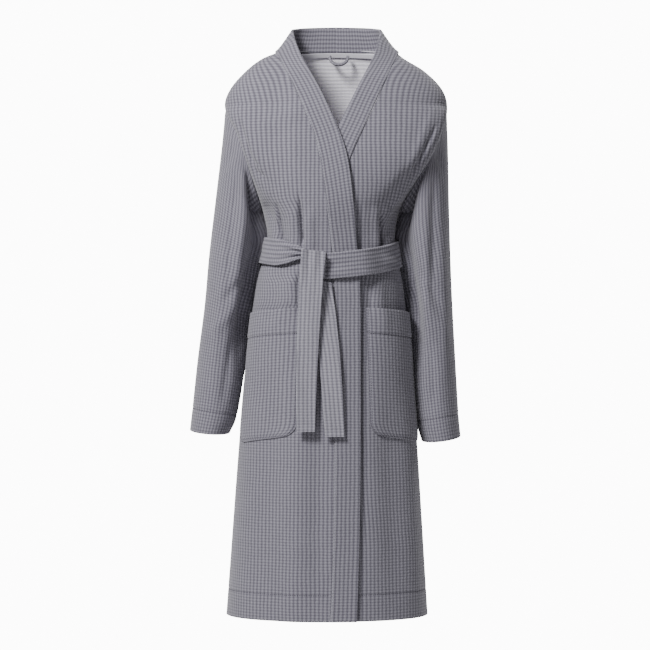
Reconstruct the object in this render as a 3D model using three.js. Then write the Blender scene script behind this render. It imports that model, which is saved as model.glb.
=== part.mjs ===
// A knee-length kimono bathrobe, filled out as it is when worn and tied with its belt.
// Millimetres, +Z up, +X to the viewer's right, and the front faces -Y. "Right" and "left" in the
// names are the wearer's, so the right front, which laps over the left one, is on the -X side.
// The origin is the middle of the neck at the high shoulder points.
import * as THREE from "three";
import { RoundedBoxGeometry } from "three/addons/geometries/RoundedBoxGeometry.js";

const smooth = (low, high, at) => THREE.MathUtils.smoothstep(at, low, high);
const mix = THREE.MathUtils.lerp;

// ---------------------------------------------------------------- cloth and clearances
const fabric = 2.5; // one layer of cloth
const folded = 2 * fabric; // bands, belt and tails are folded double
const seamGap = 0.6; // between pieces that are sewn edge to edge
const layGap = 1.2; // between pieces that only lie on each other

// ---------------------------------------------------------------- levels below the shoulders
const bodyLength = 1112; // high shoulder point to hem
const shoulderDrop = 107; // to the tip of the dropped shoulder
const armholeDepth = 198; // shoulder tip to underarm
const waistDepth = 370;
const highHipDepth = 461;
const hipDepth = 658;
const backNeckRise = 9; // of the back neck's seam over the high shoulder points
const tipZ = -shoulderDrop;
const underarmZ = tipZ - armholeDepth;
const armholeZ = (tipZ + underarmZ) / 2;
const upperArmholeZ = mix(tipZ, armholeZ, 0.54);
const lowerArmholeZ = mix(armholeZ, underarmZ, 0.5);
const hemZ = -bodyLength;

// ---------------------------------------------------------------- girths, as half widths
const neckHalf = 119;
const shoulderHalf = 219;
const armholeHalf = 182;
const chestHalf = 136;
const waistHalf = 125;
const highHipHalf = 144;
const hipHalf = 166;
const hemHalf = 198;
const armholeHalfDepth = 62; // half of the armhole, front to back
const shoulderRound = 2.05; // above 1 the shoulder line is convex
const roundness = 0.9; // 1 is an ellipse, less is boxier

// The form that the cloth lies on, from the neck down: the middle's place, and the depths.
const form = [
  { z: 0, centre: -2, half: neckHalf, front: 38, back: 62 },
  { z: -12, centre: -9, half: shoulderLine(-12), front: 48, back: 68 },
  { z: -36, centre: -5, half: shoulderLine(-36), front: 63, back: 78 },
  { z: -72, centre: -3, half: shoulderLine(-72), front: 80, back: 91 },
  { z: tipZ, centre: -3, half: shoulderHalf, front: 92, back: 99 },
  { z: upperArmholeZ, centre: 3, half: mix(shoulderHalf, armholeHalf, 0.52), front: 105, back: 106 },
  { z: armholeZ, centre: 1, half: armholeHalf, front: 115, back: 108 },
  { z: lowerArmholeZ, centre: -6, half: mix(armholeHalf, chestHalf, 0.52), front: 121, back: 105 },
  { z: underarmZ, centre: -12.5, half: chestHalf, front: 122, back: 99 },
  { z: -waistDepth, centre: -12.5, half: waistHalf, front: 114, back: 86 },
  { z: -highHipDepth, centre: -16, half: highHipHalf, front: 117, back: 98 },
  { z: -hipDepth, centre: -18, half: hipHalf, front: 130, back: 120 },
  { z: hemZ, centre: -21, half: hemHalf, front: 152, back: 142 },
];

// ---------------------------------------------------------------- bands, belt and small parts
const beltWidth = 51;
const hemDepth = 51; // of the turned-up hem
const pocketWidth = 152;
const pocketHeight = 252;
const pocketTopZ = -511;
const pocketHemDepth = 50;
const pocketCorner = 32; // radius of the lower corners
const pocketEase = 16; // how far the mouth stands off the front
const rightPocketX = -74; // each pocket's edge next to the front bands
const leftPocketX = 58;
const knotWidth = 46;
const knotHeight = 58;
const knotX = -47;
const knotZ = -421;
const tailGap = 2.5; // between a tail and the knot
const beltEase = 3.5; // between the belt's ends and the knot
const loopCordRadius = 3.2; // hanger loop
const loopSpan = 36;
const loopDrop = 20;
const loopX = 3;
const tapeHeight = 9;
const tapeHalf = 96;
const carrierWidth = 10; // belt carriers
const carrierCloth = 2;
const carrierTopZ = -352;
const carrierLength = 116;
const carrierY = 14;

// The right front's lift over the left band, with room for the turned-up hem.
const lapLift = folded + fabric + layGap;

// ---------------------------------------------------------------- curves and the form
function shoulderLine(z) {
  return neckHalf + (shoulderHalf - neckHalf) * (1 - (1 + z / shoulderDrop) ** shoulderRound);
}

// A smooth function through [at, value] pairs, in falling order of at.
function through(pairs) {
  const slope = (i) => {
    const a = pairs[Math.max(i - 1, 0)];
    const b = pairs[Math.min(i + 1, pairs.length - 1)];
    return (b[1] - a[1]) / (b[0] - a[0]);
  };
  return (at) => {
    const clamped = Math.min(pairs[0][0], Math.max(pairs[pairs.length - 1][0], at));
    let i = 0;
    while (i < pairs.length - 2 && clamped < pairs[i + 1][0]) i += 1;
    const [z0, v0] = pairs[i];
    const [z1, v1] = pairs[i + 1];
    const u = (clamped - z0) / (z1 - z0);
    const m0 = slope(i) * (z1 - z0);
    const m1 = slope(i + 1) * (z1 - z0);
    return (
      (2 * u ** 3 - 3 * u ** 2 + 1) * v0 +
      (u ** 3 - 2 * u ** 2 + u) * m0 +
      (3 * u ** 2 - 2 * u ** 3) * v1 +
      (u ** 3 - u ** 2) * m1
    );
  };
}

const centreAt = through(form.map((f) => [f.z, f.centre]));
const halfAt = through(form.map((f) => [f.z, f.half]));
const frontAt = through(form.map((f) => [f.z, f.front]));
const backAt = through(form.map((f) => [f.z, f.back]));

// How far the armhole's edge stands in front of, or behind, the shoulder seam.
function armholeEdge(z) {
  const c = (z - armholeZ) / (armholeDepth / 2);
  return Math.abs(c) < 1 ? armholeHalfDepth * (1 - c * c) ** 0.7 : 0;
}

// The depth of the form at a width x, on the front (-1) or the back (1).
function formY(x, z, face) {
  const edge = armholeEdge(z);
  const depth = face < 0 ? frontAt(z) : backAt(z);
  const share = Math.min(1, Math.abs(x - centreAt(z)) / halfAt(z));
  return face * (edge + (depth - edge) * (1 - share ** (2 / roundness)) ** (roundness / 2));
}

// The width x at a turn round the form: 0 at the -X side, PI at the +X side.
function xAtTurn(turn, z) {
  const c = Math.cos(turn);
  return centreAt(z) - halfAt(z) * Math.sign(c) * Math.abs(c) ** roundness;
}

function turnAtX(x, z) {
  const share = (centreAt(z) - x) / halfAt(z);
  return Math.acos(THREE.MathUtils.clamp(Math.sign(share) * Math.abs(share) ** (1 / roundness), -1, 1));
}

function formPoint(turn, z, face) {
  const edge = armholeEdge(z);
  const depth = face < 0 ? frontAt(z) : backAt(z);
  const y = face * (edge + (depth - edge) * Math.abs(Math.sin(turn)) ** roundness);
  return new THREE.Vector3(xAtTurn(turn, z), y, z);
}

// Front and back in one: the turn goes on past PI round the back.
function roundForm(turn, z) {
  return formPoint(turn, z, Math.sin(turn) > 0 ? -1 : 1);
}

// The turn that lies a length of cloth further round the front from a start.
function turnAfter(start, length, z) {
  const steps = 60;
  const way = Math.sign(length);
  let turn = start;
  let left = Math.abs(length);
  let last = formPoint(turn, z, -1);
  const step = (way * Math.PI) / 2 / steps;
  while (left > 0 && turn + step > 0 && turn + step < Math.PI) {
    const next = formPoint(turn + step, z, -1);
    left -= next.distanceTo(last);
    last = next;
    turn += step;
  }
  return turn;
}

// ---------------------------------------------------------------- solids from surfaces
// A closed sheet on a surface: point(s, t) is its inner face, where s x t points outwards, and
// inner and outer are offsets along the surface's normal.
function sheet(across, up, point, inner, outer) {
  const geometry = new THREE.BoxGeometry(1, 1, 1, across, up, 1);
  const position = geometry.getAttribute("position");
  const step = 1e-3;
  for (let i = 0; i < position.count; i += 1) {
    const s = position.getX(i) + 0.5;
    const t = position.getY(i) + 0.5;
    const s0 = Math.max(0, s - step);
    const s1 = Math.min(1, s + step);
    const t0 = Math.max(0, t - step);
    const t1 = Math.min(1, t + step);
    const alongS = point(s1, t).sub(point(s0, t));
    const alongT = point(s, t1).sub(point(s, t0));
    const normal = alongS.cross(alongT).normalize();
    const offset = position.getZ(i) > 0 ? outer(s, t) : inner(s, t);
    const placed = point(s, t).addScaledVector(normal, offset);
    position.setXYZ(i, placed.x, placed.y, placed.z);
  }
  return geometry;
}

// A closed tube with a wall: ring(turn, t) gives points of its outer face, and wall(t) its thickness.
function tube(round, levels, ring, wall) {
  const profile = levels.map((t) => new THREE.Vector2(2, t));
  profile.push(...levels.map((t) => new THREE.Vector2(1, t)).reverse(), new THREE.Vector2(2, levels[0]));
  const geometry = new THREE.LatheGeometry(profile, round);
  const position = geometry.getAttribute("position");
  for (let i = 0; i < position.count; i += 1) {
    const turn = Math.atan2(position.getX(i), position.getZ(i));
    const t = position.getY(i);
    const isOuter = Math.hypot(position.getX(i), position.getZ(i)) > 1.5;
    const place = ring(turn, t);
    const middle = ring(turn + Math.PI, t).add(place).multiplyScalar(0.5);
    const inward = middle.sub(place).normalize();
    if (!isOuter) place.addScaledVector(inward, wall(t));
    position.setXYZ(i, place.x, place.y, place.z);
  }
  return geometry;
}

// Evenly indexed values of a list, with straight lines between them.
function along(list, t) {
  const at = THREE.MathUtils.clamp(t, 0, 1) * (list.length - 1);
  const i = Math.min(list.length - 2, Math.floor(at));
  return mix(list[i], list[i + 1], at - i);
}

function alongPoints(points, t) {
  const at = THREE.MathUtils.clamp(t, 0, 1) * (points.length - 1);
  const i = Math.min(points.length - 2, Math.floor(at));
  return points[i].clone().lerp(points[i + 1], at - i);
}

const root = new THREE.Group();
const cloth = { color: 0x8a8892, roughness: 0.95, metalness: 0 };
const lining = { color: 0xc9c6d2, roughness: 0.95, metalness: 0 };

function add(name, geometry, look) {
  const mesh = new THREE.Mesh(geometry, new THREE.MeshStandardMaterial(look));
  mesh.name = name;
  root.add(mesh);
}

// ---------------------------------------------------------------- front bands
// The right band's seam and folded edge, up the front and round the neck to the centre back. The
// front stations are [x, z] on the form, and the neck stations are [x, y, z].
const bandStations = [
  { seam: [-15, hemZ], edge: [36, hemZ] },
  { seam: [-12, -1042], edge: [39, -1042] },
  { seam: [-8, -877], edge: [43, -877] },
  { seam: [-7, -660], edge: [44, -660] },
  { seam: [-8, -452], edge: [43, -452] },
  { seam: [-14, -375], edge: [36, -373] },
  { seam: [-22, -305], edge: [30, -297] },
  { seam: [-29, -250], edge: [23, -236] },
  { seam: [-37, -204], edge: [13, -190] },
  { seam: [-53, -150], edge: [-7, -136] },
  { seam: [-86, -73], edge: [-41, -65] },
  { seam: [-119, -5], edge: [-72, -7] },
  { seam: [-122, 8, 4], edge: [-87, 10, 43] },
  { seam: [-108, 36, 7], edge: [-83, 35, 53] },
  { seam: [-64, 57, 9], edge: [-56, 57, 59] },
  { seam: [-2, 62, 10], edge: [-2, 64, 61] },
];
const neckMiddleX = -2;
const bandMiddleX = through([
  [0, 0],
  [-149, 0],
  [-waistDepth, -18],
  [hemZ, -20],
]);
const frontStations = bandStations.filter((b) => b.seam.length === 2).reverse();
const bandSeamX = through(frontStations.map((b) => [b.seam[1], b.seam[0]]));
const leftSeamX = (z) => 2 * bandMiddleX(z) - bandSeamX(z);

// How far the right front is lifted over the left one.
function lift(x, z) {
  return lapLift * smooth(-128, -80, x) * (1 - smooth(-122, -45, z));
}

// A place on a front, on the right (-1) or turned over to the left (1).
function frontPlace(x, z, side) {
  const sideX = side < 0 ? x : 2 * bandMiddleX(z) - x;
  return new THREE.Vector3(sideX, formY(sideX, z, -1) - (side < 0 ? lift(x, z) : 0), z);
}

// The points of a band's seam or folded edge, from the hem to the centre back.
function bandLine(key, side) {
  const places = bandStations.map((station) => {
    const place = station[key];
    if (place.length === 2) return frontPlace(place[0], place[1], side);
    const turned = side < 0 ? place[0] : 2 * neckMiddleX - place[0];
    return new THREE.Vector3(turned + (side * seamGap) / 2, place[1], place[2]);
  });
  const x = through(frontStations.map((b) => [b.seam[1], b[key][0]]));
  const z = through(frontStations.filter((b) => b[key].length === 2).map((b) => [b.seam[1], b[key][1]]));
  const lastZ = frontStations.filter((b) => b[key].length === 2)[0].seam[1];
  const line = panelRows(frontStations[0].seam[1])
    .filter((rowZ) => rowZ <= lastZ)
    .map((rowZ) => frontPlace(x(rowZ), z(rowZ), side));
  const first = bandStations.findIndex((b) => b.seam[1] >= lastZ || b.seam.length === 3);
  const round = new THREE.CatmullRomCurve3(places, false, "catmullrom", 0.5);
  const steps = 3 * (places.length - 1 - first);
  for (let i = 1; i <= steps; i += 1) {
    line.push(round.getPoint(mix(first / (places.length - 1), 1, i / steps)));
  }
  return line;
}

function neckBand(side) {
  const seam = bandLine("seam", side);
  const edge = bandLine("edge", side);
  const point = (s, t) => {
    const share = side < 0 ? s : 1 - s;
    return alongPoints(seam, t).lerp(alongPoints(edge, t), share);
  };
  return sheet(3, seam.length - 1, point, () => 0, () => folded);
}

add("neck_band_right", neckBand(-1), cloth);
add("neck_band_left", neckBand(1), cloth);

// ---------------------------------------------------------------- body panels
// Heights of a panel's rows from the hem up: the hem's fold, the skirt, the armhole and the shoulder.
function panelRows(topZ) {
  const rows = [hemZ, hemZ + hemDepth, hemZ + hemDepth + fabric];
  const skirtSteps = 8;
  for (let i = 1; i < skirtSteps; i += 1) rows.push(mix(hemZ + hemDepth, -highHipDepth, i / skirtSteps));
  const waistSteps = 5;
  for (let i = 0; i < waistSteps; i += 1) rows.push(mix(-highHipDepth, -waistDepth, i / waistSteps));
  for (let i = 0; i < 3; i += 1) rows.push(mix(-waistDepth, underarmZ, i / 3));
  const armholeSteps = 10;
  for (let i = 0; i <= armholeSteps; i += 1) {
    rows.push(armholeZ - (Math.cos((Math.PI * i) / armholeSteps) * armholeDepth) / 2);
  }
  rows.push(-70, -46, -30, -17, topZ);
  return rows;
}

function hemOffset(rows) {
  return (s, t) => (along(rows, t) < hemZ + hemDepth + fabric / 2 ? -fabric : 0);
}

function frontPanel(side) {
  const rows = panelRows(-4);
  const halfGap = seamGap / 2;
  const point = (s, t) => {
    const z = along(rows, t);
    const seamX = side < 0 ? bandSeamX(z) - seamGap : leftSeamX(z) + seamGap;
    const start = side < 0 ? 0 : turnAtX(seamX, z);
    const end = side < 0 ? turnAtX(seamX, z) : Math.PI;
    const place = formPoint(mix(start, end, s), z, -1);
    place.y -= side < 0 ? lift(place.x, z) : 0;
    place.y -= halfGap;
    return place;
  };
  return sheet(Math.round(hemHalf / 16), rows.length - 1, point, hemOffset(rows), () => fabric);
}

// The back, with its neck seam raised in the middle.
function backPlace(turn, z) {
  const place = formPoint(turn, z, 1);
  const share = Math.min(1, Math.abs(place.x - neckMiddleX) / neckHalf);
  place.z += backNeckRise * (1 - share * share) * smooth(-70, 0, z);
  return place;
}

function backPanel() {
  const rows = panelRows(-2);
  const point = (s, t) => {
    const place = backPlace(Math.PI * (1 - s), along(rows, t));
    place.y += seamGap / 2;
    return place;
  };
  return sheet(18, rows.length - 1, point, hemOffset(rows), () => fabric);
}

add("back_panel", backPanel(), cloth);
add("front_panel_right", frontPanel(-1), cloth);
add("front_panel_left", frontPanel(1), cloth);

// ---------------------------------------------------------------- sleeves
// Rings below the armhole: the outermost and innermost points as how far each stands out from the body's
// side at the innermost point's height and its z, then the half depth and the middle's y.
const rightSleeveRings = [
  { outer: [86.758, -190], inner: [14.758, -322], depth: 64, y: 2 },
  { outer: [104.967, -290], inner: [14.967, -352], depth: 67, y: 5 },
  { outer: [105.580, -400], inner: [24.580, -424], depth: 68, y: 6 },
  { outer: [94.950, -500], inner: [10.950, -530], depth: 66, y: 6 },
  { outer: [98.124, -610], inner: [8.124, -625], depth: 62, y: 5 },
  { outer: [99.763, -704], inner: [10.763, -718], depth: 60, y: 4 },
  { outer: [101.146, -746], inner: [21.146, -762], depth: 58, y: 4 },
];
const leftSleeveRings = [
  { outer: [101.663, -190], inner: [15.663, -322], depth: 64, y: 2 },
  { outer: [108.954, -290], inner: [13.954, -352], depth: 67, y: 5 },
  { outer: [103.952, -400], inner: [26.952, -424], depth: 68, y: 6 },
  { outer: [92.949, -500], inner: [12.949, -530], depth: 66, y: 6 },
  { outer: [89.395, -612], inner: [11.395, -628], depth: 62, y: 5 },
  { outer: [87.820, -716], inner: [10.820, -730], depth: 60, y: 4 },
  { outer: [88.726, -758], inner: [12.726, -776], depth: 58, y: 4 },
];

// The outermost point is at no turn, and the front is at a quarter turn.
function sleeve(side, rings) {
  const start = fabric + 2 * seamGap;
  const armholeRing = (turn) => {
    const z = armholeZ + (Math.cos(turn) * armholeDepth) / 2;
    const edgeX = centreAt(z) + side * halfAt(z);
    return new THREE.Vector3(edgeX + side * start, -Math.sign(Math.sin(turn)) * armholeEdge(z), z);
  };
  const hangingRing = (ring) => (turn) => {
    const share = (1 + Math.cos(turn)) / 2;
    const bodyX = centreAt(ring.inner[1]) + side * halfAt(ring.inner[1]);
    const x = bodyX + side * mix(ring.inner[0], ring.outer[0], share);
    const z = mix(ring.inner[1], ring.outer[1], share);
    return new THREE.Vector3(x, ring.y - Math.sin(turn) * ring.depth, z);
  };
  const stations = [armholeRing, ...rings.map(hangingRing)];
  const ring = (turn, t) => {
    const places = stations.map((station) => station(-side * turn));
    return new THREE.CatmullRomCurve3(places, false, "catmullrom", 0.5).getPoint(1 - t);
  };
  const cuff = 1 / rings.length;
  const levels = [0, cuff, cuff * 1.05];
  const steps = 11;
  for (let i = 1; i <= steps; i += 1) levels.push(mix(cuff, 1, i / steps));
  return tube(20, levels, ring, (t) => (t < cuff * 1.02 ? folded : fabric));
}

add("sleeve_right", sleeve(-1, rightSleeveRings), cloth);
add("sleeve_left", sleeve(1, leftSleeveRings), cloth);

// ---------------------------------------------------------------- pockets
function pocket(side) {
  const bottomZ = pocketTopZ - pocketHeight;
  const middleZ = pocketTopZ - pocketHeight / 2;
  const innerX = side < 0 ? rightPocketX : leftPocketX;
  const innerTurn = turnAtX(innerX, middleZ);
  const outerTurn = turnAfter(innerTurn, side * pocketWidth, middleZ);
  const point = (s, t) => {
    const z = mix(bottomZ, pocketTopZ, t);
    const nearBottom = Math.max(0, 1 - (z - bottomZ) / pocketCorner);
    const cut = (1 - Math.sqrt(1 - nearBottom ** 2)) * (pocketCorner / pocketWidth);
    const low = Math.min(innerTurn, outerTurn);
    const high = Math.max(innerTurn, outerTurn);
    const turn = mix(low, high, mix(cut, 1 - cut, s));
    const place = formPoint(turn, z, -1);
    place.y -= side < 0 ? lift(place.x, z) : 0;
    place.y -= seamGap / 2;
    return place;
  };
  const rest = fabric + layGap + seamGap;
  const gape = (s, t) => rest + pocketEase * Math.sin(Math.PI * s) ** 0.8 * smooth(0, 0.3, t);
  const cloth = (t) => (t > 1 - pocketHemDepth / pocketHeight ? 1.6 * fabric : fabric);
  return sheet(Math.round(pocketWidth / 15), 10, point, gape, (s, t) => gape(s, t) + cloth(t));
}

add("pocket_right", pocket(-1), cloth);
add("pocket_left", pocket(1), cloth);

// ---------------------------------------------------------------- belt
const knotLeftX = knotX - knotWidth / 2;
const knotRightX = knotX + knotWidth / 2;

// How high the layers under the belt stand on the front, at a width x.
function layersUnderBelt(x, z) {
  const lapEdge = bandSeamX(z) + beltWidth;
  const onBand = smooth(bandSeamX(z) - 26, bandSeamX(z) - 6, x);
  const top = lift(x, z) + mix(fabric, folded, onBand);
  return mix(top, fabric, smooth(lapEdge + 2, lapEdge + 44, x)) + layGap;
}

// The belt from the knot's left-hand side round the wearer's left, the back and the right.
function beltWrap() {
  const middleZ = -waistDepth - beltWidth / 2;
  const startTurn = turnAtX(knotRightX + beltEase, knotZ);
  const endTurn = turnAtX(knotLeftX - beltEase, knotZ);
  const turns = [startTurn, Math.PI, 2 * Math.PI, 2 * Math.PI + endTurn];
  const centreZ = through([
    [-turns[0], knotZ - 7],
    [-turns[0] - 0.8, knotZ + 7],
    [-turns[1], middleZ - 2],
    [-turns[2], middleZ + 5],
    [-turns[3], knotZ + 20],
  ]);
  const width = through([
    [-turns[0], beltWidth],
    [-turns[2], beltWidth],
    [-turns[2] - 0.55, beltWidth - 6],
    [-turns[3], beltWidth * 0.5],
  ]);
  const point = (s, t) => {
    const turn = mix(turns[0], turns[3], s);
    const z = centreZ(-turn) + (t - 0.5) * width(-turn);
    const isFront = Math.sin(turn) > 0;
    const place = roundForm(turn, z);
    const under = isFront ? layersUnderBelt(place.x, z) : fabric + layGap;
    const way = roundForm(turn + 0.01, z).sub(roundForm(turn - 0.01, z));
    return place.addScaledVector(new THREE.Vector3(way.y, -way.x, 0).normalize(), under + seamGap);
  };
  return sheet(44, 3, point, () => 0, () => folded);
}
add("belt_wrap", beltWrap(), cloth);

// Wraps a flat geometry on the front: its x and y become the width and the height, its z the depth.
function onFront(geometry, base) {
  const position = geometry.getAttribute("position");
  for (let i = 0; i < position.count; i += 1) {
    const x = position.getX(i);
    const z = position.getY(i);
    position.setXYZ(i, x, formY(x, z, -1) - base - position.getZ(i), z);
  }
  return geometry;
}

const knotBase = lapLift + fabric + 2 * layGap;
const knotDepth = 17;
function knot() {
  const block = new RoundedBoxGeometry(knotWidth, knotHeight, knotDepth, 4, knotDepth * 0.42);
  block.translate(knotX, knotZ, knotDepth / 2);
  return onFront(block, knotBase);
}

// Each tail's two edges across the top and across the end, and the height of its end.
const tailFrontTop = [knotX - 24, knotX + 24];
const tailFrontBottom = [-81, -44];
const tailFrontEndZ = -745;
const tailRearTop = [-58, -12];
const tailRearBottom = [-25, 13];
const tailRearEndZ = -755;
const tailFrontTopZ = knotZ + knotHeight / 2 + 4;
const tailRearTopZ = knotZ - knotHeight / 2 - 10;
const tailRearStand = lapLift + folded + layGap;
const tailDepths = {
  front: knotBase + knotDepth + tailGap,
  frontLow: tailRearStand + folded + 2 * layGap,
  rear: tailRearStand,
};

// A tail hangs down the front: its edges' x at the top and the bottom, its heights and its depths.
function tail(top, bottom, topZ, bottomZ, depthTop, depthLow) {
  const point = (s, t) => {
    const x = mix(mix(bottom[0], bottom[1], s), mix(top[0], top[1], s), t);
    const z = mix(bottomZ, topZ, t);
    const edges = [0, 1].map((side) => formY(mix(bottom[side], top[side], t), z, -1));
    const y = Math.min(...edges) - mix(depthLow, depthTop, smooth(0.3, 0.8, t));
    return new THREE.Vector3(x, y, z);
  };
  return sheet(3, 14, point, () => 0, () => folded);
}

add("belt_knot", knot(), cloth);
add(
  "belt_tail_front",
  tail(tailFrontTop, tailFrontBottom, tailFrontTopZ, tailFrontEndZ, tailDepths.front, tailDepths.frontLow),
  cloth,
);
add(
  "belt_tail_rear",
  tail(tailRearTop, tailRearBottom, tailRearTopZ, tailRearEndZ, tailDepths.rear, tailDepths.rear),
  cloth,
);

// ---------------------------------------------------------------- belt carriers
function carrier(side) {
  const bottomZ = carrierTopZ - carrierLength;
  const arch = fabric + 2 * layGap + folded + carrierCloth;
  const stand = (z) => {
    const nearTop = smooth(carrierTopZ, carrierTopZ - 16, z);
    const share = Math.min((carrierTopZ - z) / 17, (z - bottomZ) / 14, 1);
    return mix(fabric + seamGap, arch, Math.sin((Math.PI / 2) * Math.max(0, share))) + 0 * nearTop;
  };
  const point = (s, t) => {
    const z = mix(bottomZ, carrierTopZ, t);
    const x = centreAt(z) + side * (halfAt(z) + stand(z));
    const y = carrierY + (side < 0 ? 0.5 - s : s - 0.5) * carrierWidth;
    return new THREE.Vector3(x, y, z);
  };
  return sheet(1, 14, point, () => 0, () => carrierCloth);
}
add("belt_carrier_right", carrier(-1), cloth);
add("belt_carrier_left", carrier(1), cloth);

// ---------------------------------------------------------------- back neck tape and hanger loop
const tapeCloth = 1.2;
function neckTape() {
  const topZ = -3;
  const start = turnAtX(neckMiddleX + tapeHalf, topZ);
  const end = turnAtX(neckMiddleX - tapeHalf, topZ);
  const point = (s, t) => {
    const z = mix(topZ - tapeHeight, topZ, t);
    return backPlace(mix(start, end, s), z);
  };
  return sheet(12, 1, point, () => -seamGap - tapeCloth, () => -seamGap);
}
add("neck_tape", neckTape(), lining);

// A cord with flat sides along a curve that lies in a plane with the given normal.
function cord(curve, normal, radius, sides, steps) {
  const geometry = new THREE.CylinderGeometry(radius, radius, 1, sides, steps, false, Math.PI / sides);
  const position = geometry.getAttribute("position");
  for (let i = 0; i < position.count; i += 1) {
    const t = position.getY(i) + 0.5;
    const ahead = curve.getPoint(Math.min(1, t + 0.01));
    const behind = curve.getPoint(Math.max(0, t - 0.01));
    const inward = normal.clone().cross(ahead.sub(behind)).normalize();
    const place = curve
      .getPoint(t)
      .addScaledVector(inward, position.getZ(i))
      .addScaledVector(normal, position.getX(i));
    position.setXYZ(i, place.x, place.y, place.z);
  }
  return geometry;
}

const loopTopZ = 1;
const loopY = bandStations[bandStations.length - 1].seam[1] - 2 * layGap - loopCordRadius;
const loopTilt = 0.5; // forward of straight down, in radians
const loopSteps = 21; // odd, so that one flat lies across the lowest point

function hangerLoop() {
  const down = new THREE.Vector3(0, -Math.sin(loopTilt), -Math.cos(loopTilt));
  const across = new THREE.Vector3(1, 0, 0);
  const middle = new THREE.Vector3(loopX, loopY, loopTopZ);
  const place = (x, drop) =>
    middle.clone().addScaledVector(across, x * loopSpan).addScaledVector(down, drop * loopDrop);
  const curve = new THREE.CatmullRomCurve3([
    place(-0.5, 0),
    place(-0.45, 0.5),
    place(-0.24, 0.9),
    place(0, 1),
    place(0.24, 0.9),
    place(0.45, 0.5),
    place(0.5, 0),
  ]);
  return cord(curve, across.clone().cross(down).normalize(), loopCordRadius, 8, loopSteps);
}
add("hanger_loop", hangerLoop(), cloth);

export default root;
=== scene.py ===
"""Builds the looks of a knee-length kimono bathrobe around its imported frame.

The robe is filled out as it is when worn and tied. Sizes are in millimetres until a mesh is made, +Z is
up, +X is to the right seen from the front, and the front faces -Y. "Right" and "left" in the names are the
wearer's, so the right front, which laps over the left one, is on the -X side.
"""

import logging
import math
from collections.abc import Callable, Sequence
from dataclasses import dataclass, field
from enum import Enum

import bpy
import numpy as np
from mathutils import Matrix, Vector

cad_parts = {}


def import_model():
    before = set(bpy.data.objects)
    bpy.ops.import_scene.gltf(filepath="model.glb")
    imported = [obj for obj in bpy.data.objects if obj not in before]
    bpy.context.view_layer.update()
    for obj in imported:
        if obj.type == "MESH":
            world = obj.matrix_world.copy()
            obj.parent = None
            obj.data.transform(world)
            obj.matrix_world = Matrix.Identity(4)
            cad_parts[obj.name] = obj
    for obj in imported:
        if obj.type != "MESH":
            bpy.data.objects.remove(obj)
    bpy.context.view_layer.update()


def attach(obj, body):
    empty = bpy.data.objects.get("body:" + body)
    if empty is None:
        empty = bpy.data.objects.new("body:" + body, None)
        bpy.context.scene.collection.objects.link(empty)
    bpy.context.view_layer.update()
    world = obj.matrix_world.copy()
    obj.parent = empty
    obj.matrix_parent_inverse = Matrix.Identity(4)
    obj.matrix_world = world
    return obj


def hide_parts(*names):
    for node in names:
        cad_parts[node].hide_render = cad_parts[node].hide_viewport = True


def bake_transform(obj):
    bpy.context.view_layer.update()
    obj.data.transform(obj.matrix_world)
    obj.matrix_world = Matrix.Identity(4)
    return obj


LOG = logging.getLogger("bathrobe")
MM = 0.001
Array = np.ndarray
Curve = Callable[[Array], Array]

# The heights that the pieces share, below the high shoulder points.
HEM_Z = -1112.0
TIP_Z = -107.0
UNDERARM_Z = -305.0
ARMHOLE_Z = (TIP_Z + UNDERARM_Z) / 2
ARMHOLE_REACH = (TIP_Z - UNDERARM_Z) / 2
WAIST_Z = -370.0
NECK_X = -2.0

CLOTH = 2.2  # one layer
FOLDED = 5.0  # bands and belts are folded double
LAP_LIFT = 7.0  # of the right front over the left one
BELT_WIDTH = 51.0
HEM_DEPTH = 51.0


class Side(Enum):
    """The wearer's side that a piece is on, as the sign of its x."""

    RIGHT = -1
    LEFT = 1


class Face(Enum):
    """The face of the robe, as the sign of its y."""

    FRONT = -1
    BACK = 1


def smoothstep(low: float, high: float, at: Array) -> Array:
    """Returns 0 before low, 1 after high and a smooth rise between them."""
    share = np.clip((np.asarray(at, dtype=float) - low) / (high - low), 0.0, 1.0)
    return share * share * (3.0 - 2.0 * share)


def smooth_curve(stations: Sequence[tuple[float, float]]) -> Curve:
    """Makes a smooth function through stations.

    Args:
        stations: The places and the values there, in rising or falling order.

    Returns:
        The function, which keeps its end values beyond the stations.
    """
    at, value = (np.array(column, dtype=float) for column in zip(*sorted(stations)))
    slope = np.empty_like(value)
    slope[1:-1] = (value[2:] - value[:-2]) / (at[2:] - at[:-2])
    slope[0] = (value[1] - value[0]) / (at[1] - at[0])
    slope[-1] = (value[-1] - value[-2]) / (at[-1] - at[-2])

    def curve(where: Array) -> Array:
        place = np.clip(np.asarray(where, dtype=float), at[0], at[-1])
        i = np.clip(np.searchsorted(at, place, side="right") - 1, 0, len(at) - 2)
        step = at[i + 1] - at[i]
        u = (place - at[i]) / step
        return (
            (2 * u**3 - 3 * u**2 + 1) * value[i]
            + (u**3 - 2 * u**2 + u) * slope[i] * step
            + (3 * u**2 - 2 * u**3) * value[i + 1]
            + (u**3 - u**2) * slope[i + 1] * step
        )

    return curve


@dataclass(frozen=True)
class Level:
    """The form at one height: its middle's x, its half width and its depths before and behind."""

    z: float
    centre: float
    half: float
    front: float
    back: float


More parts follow.
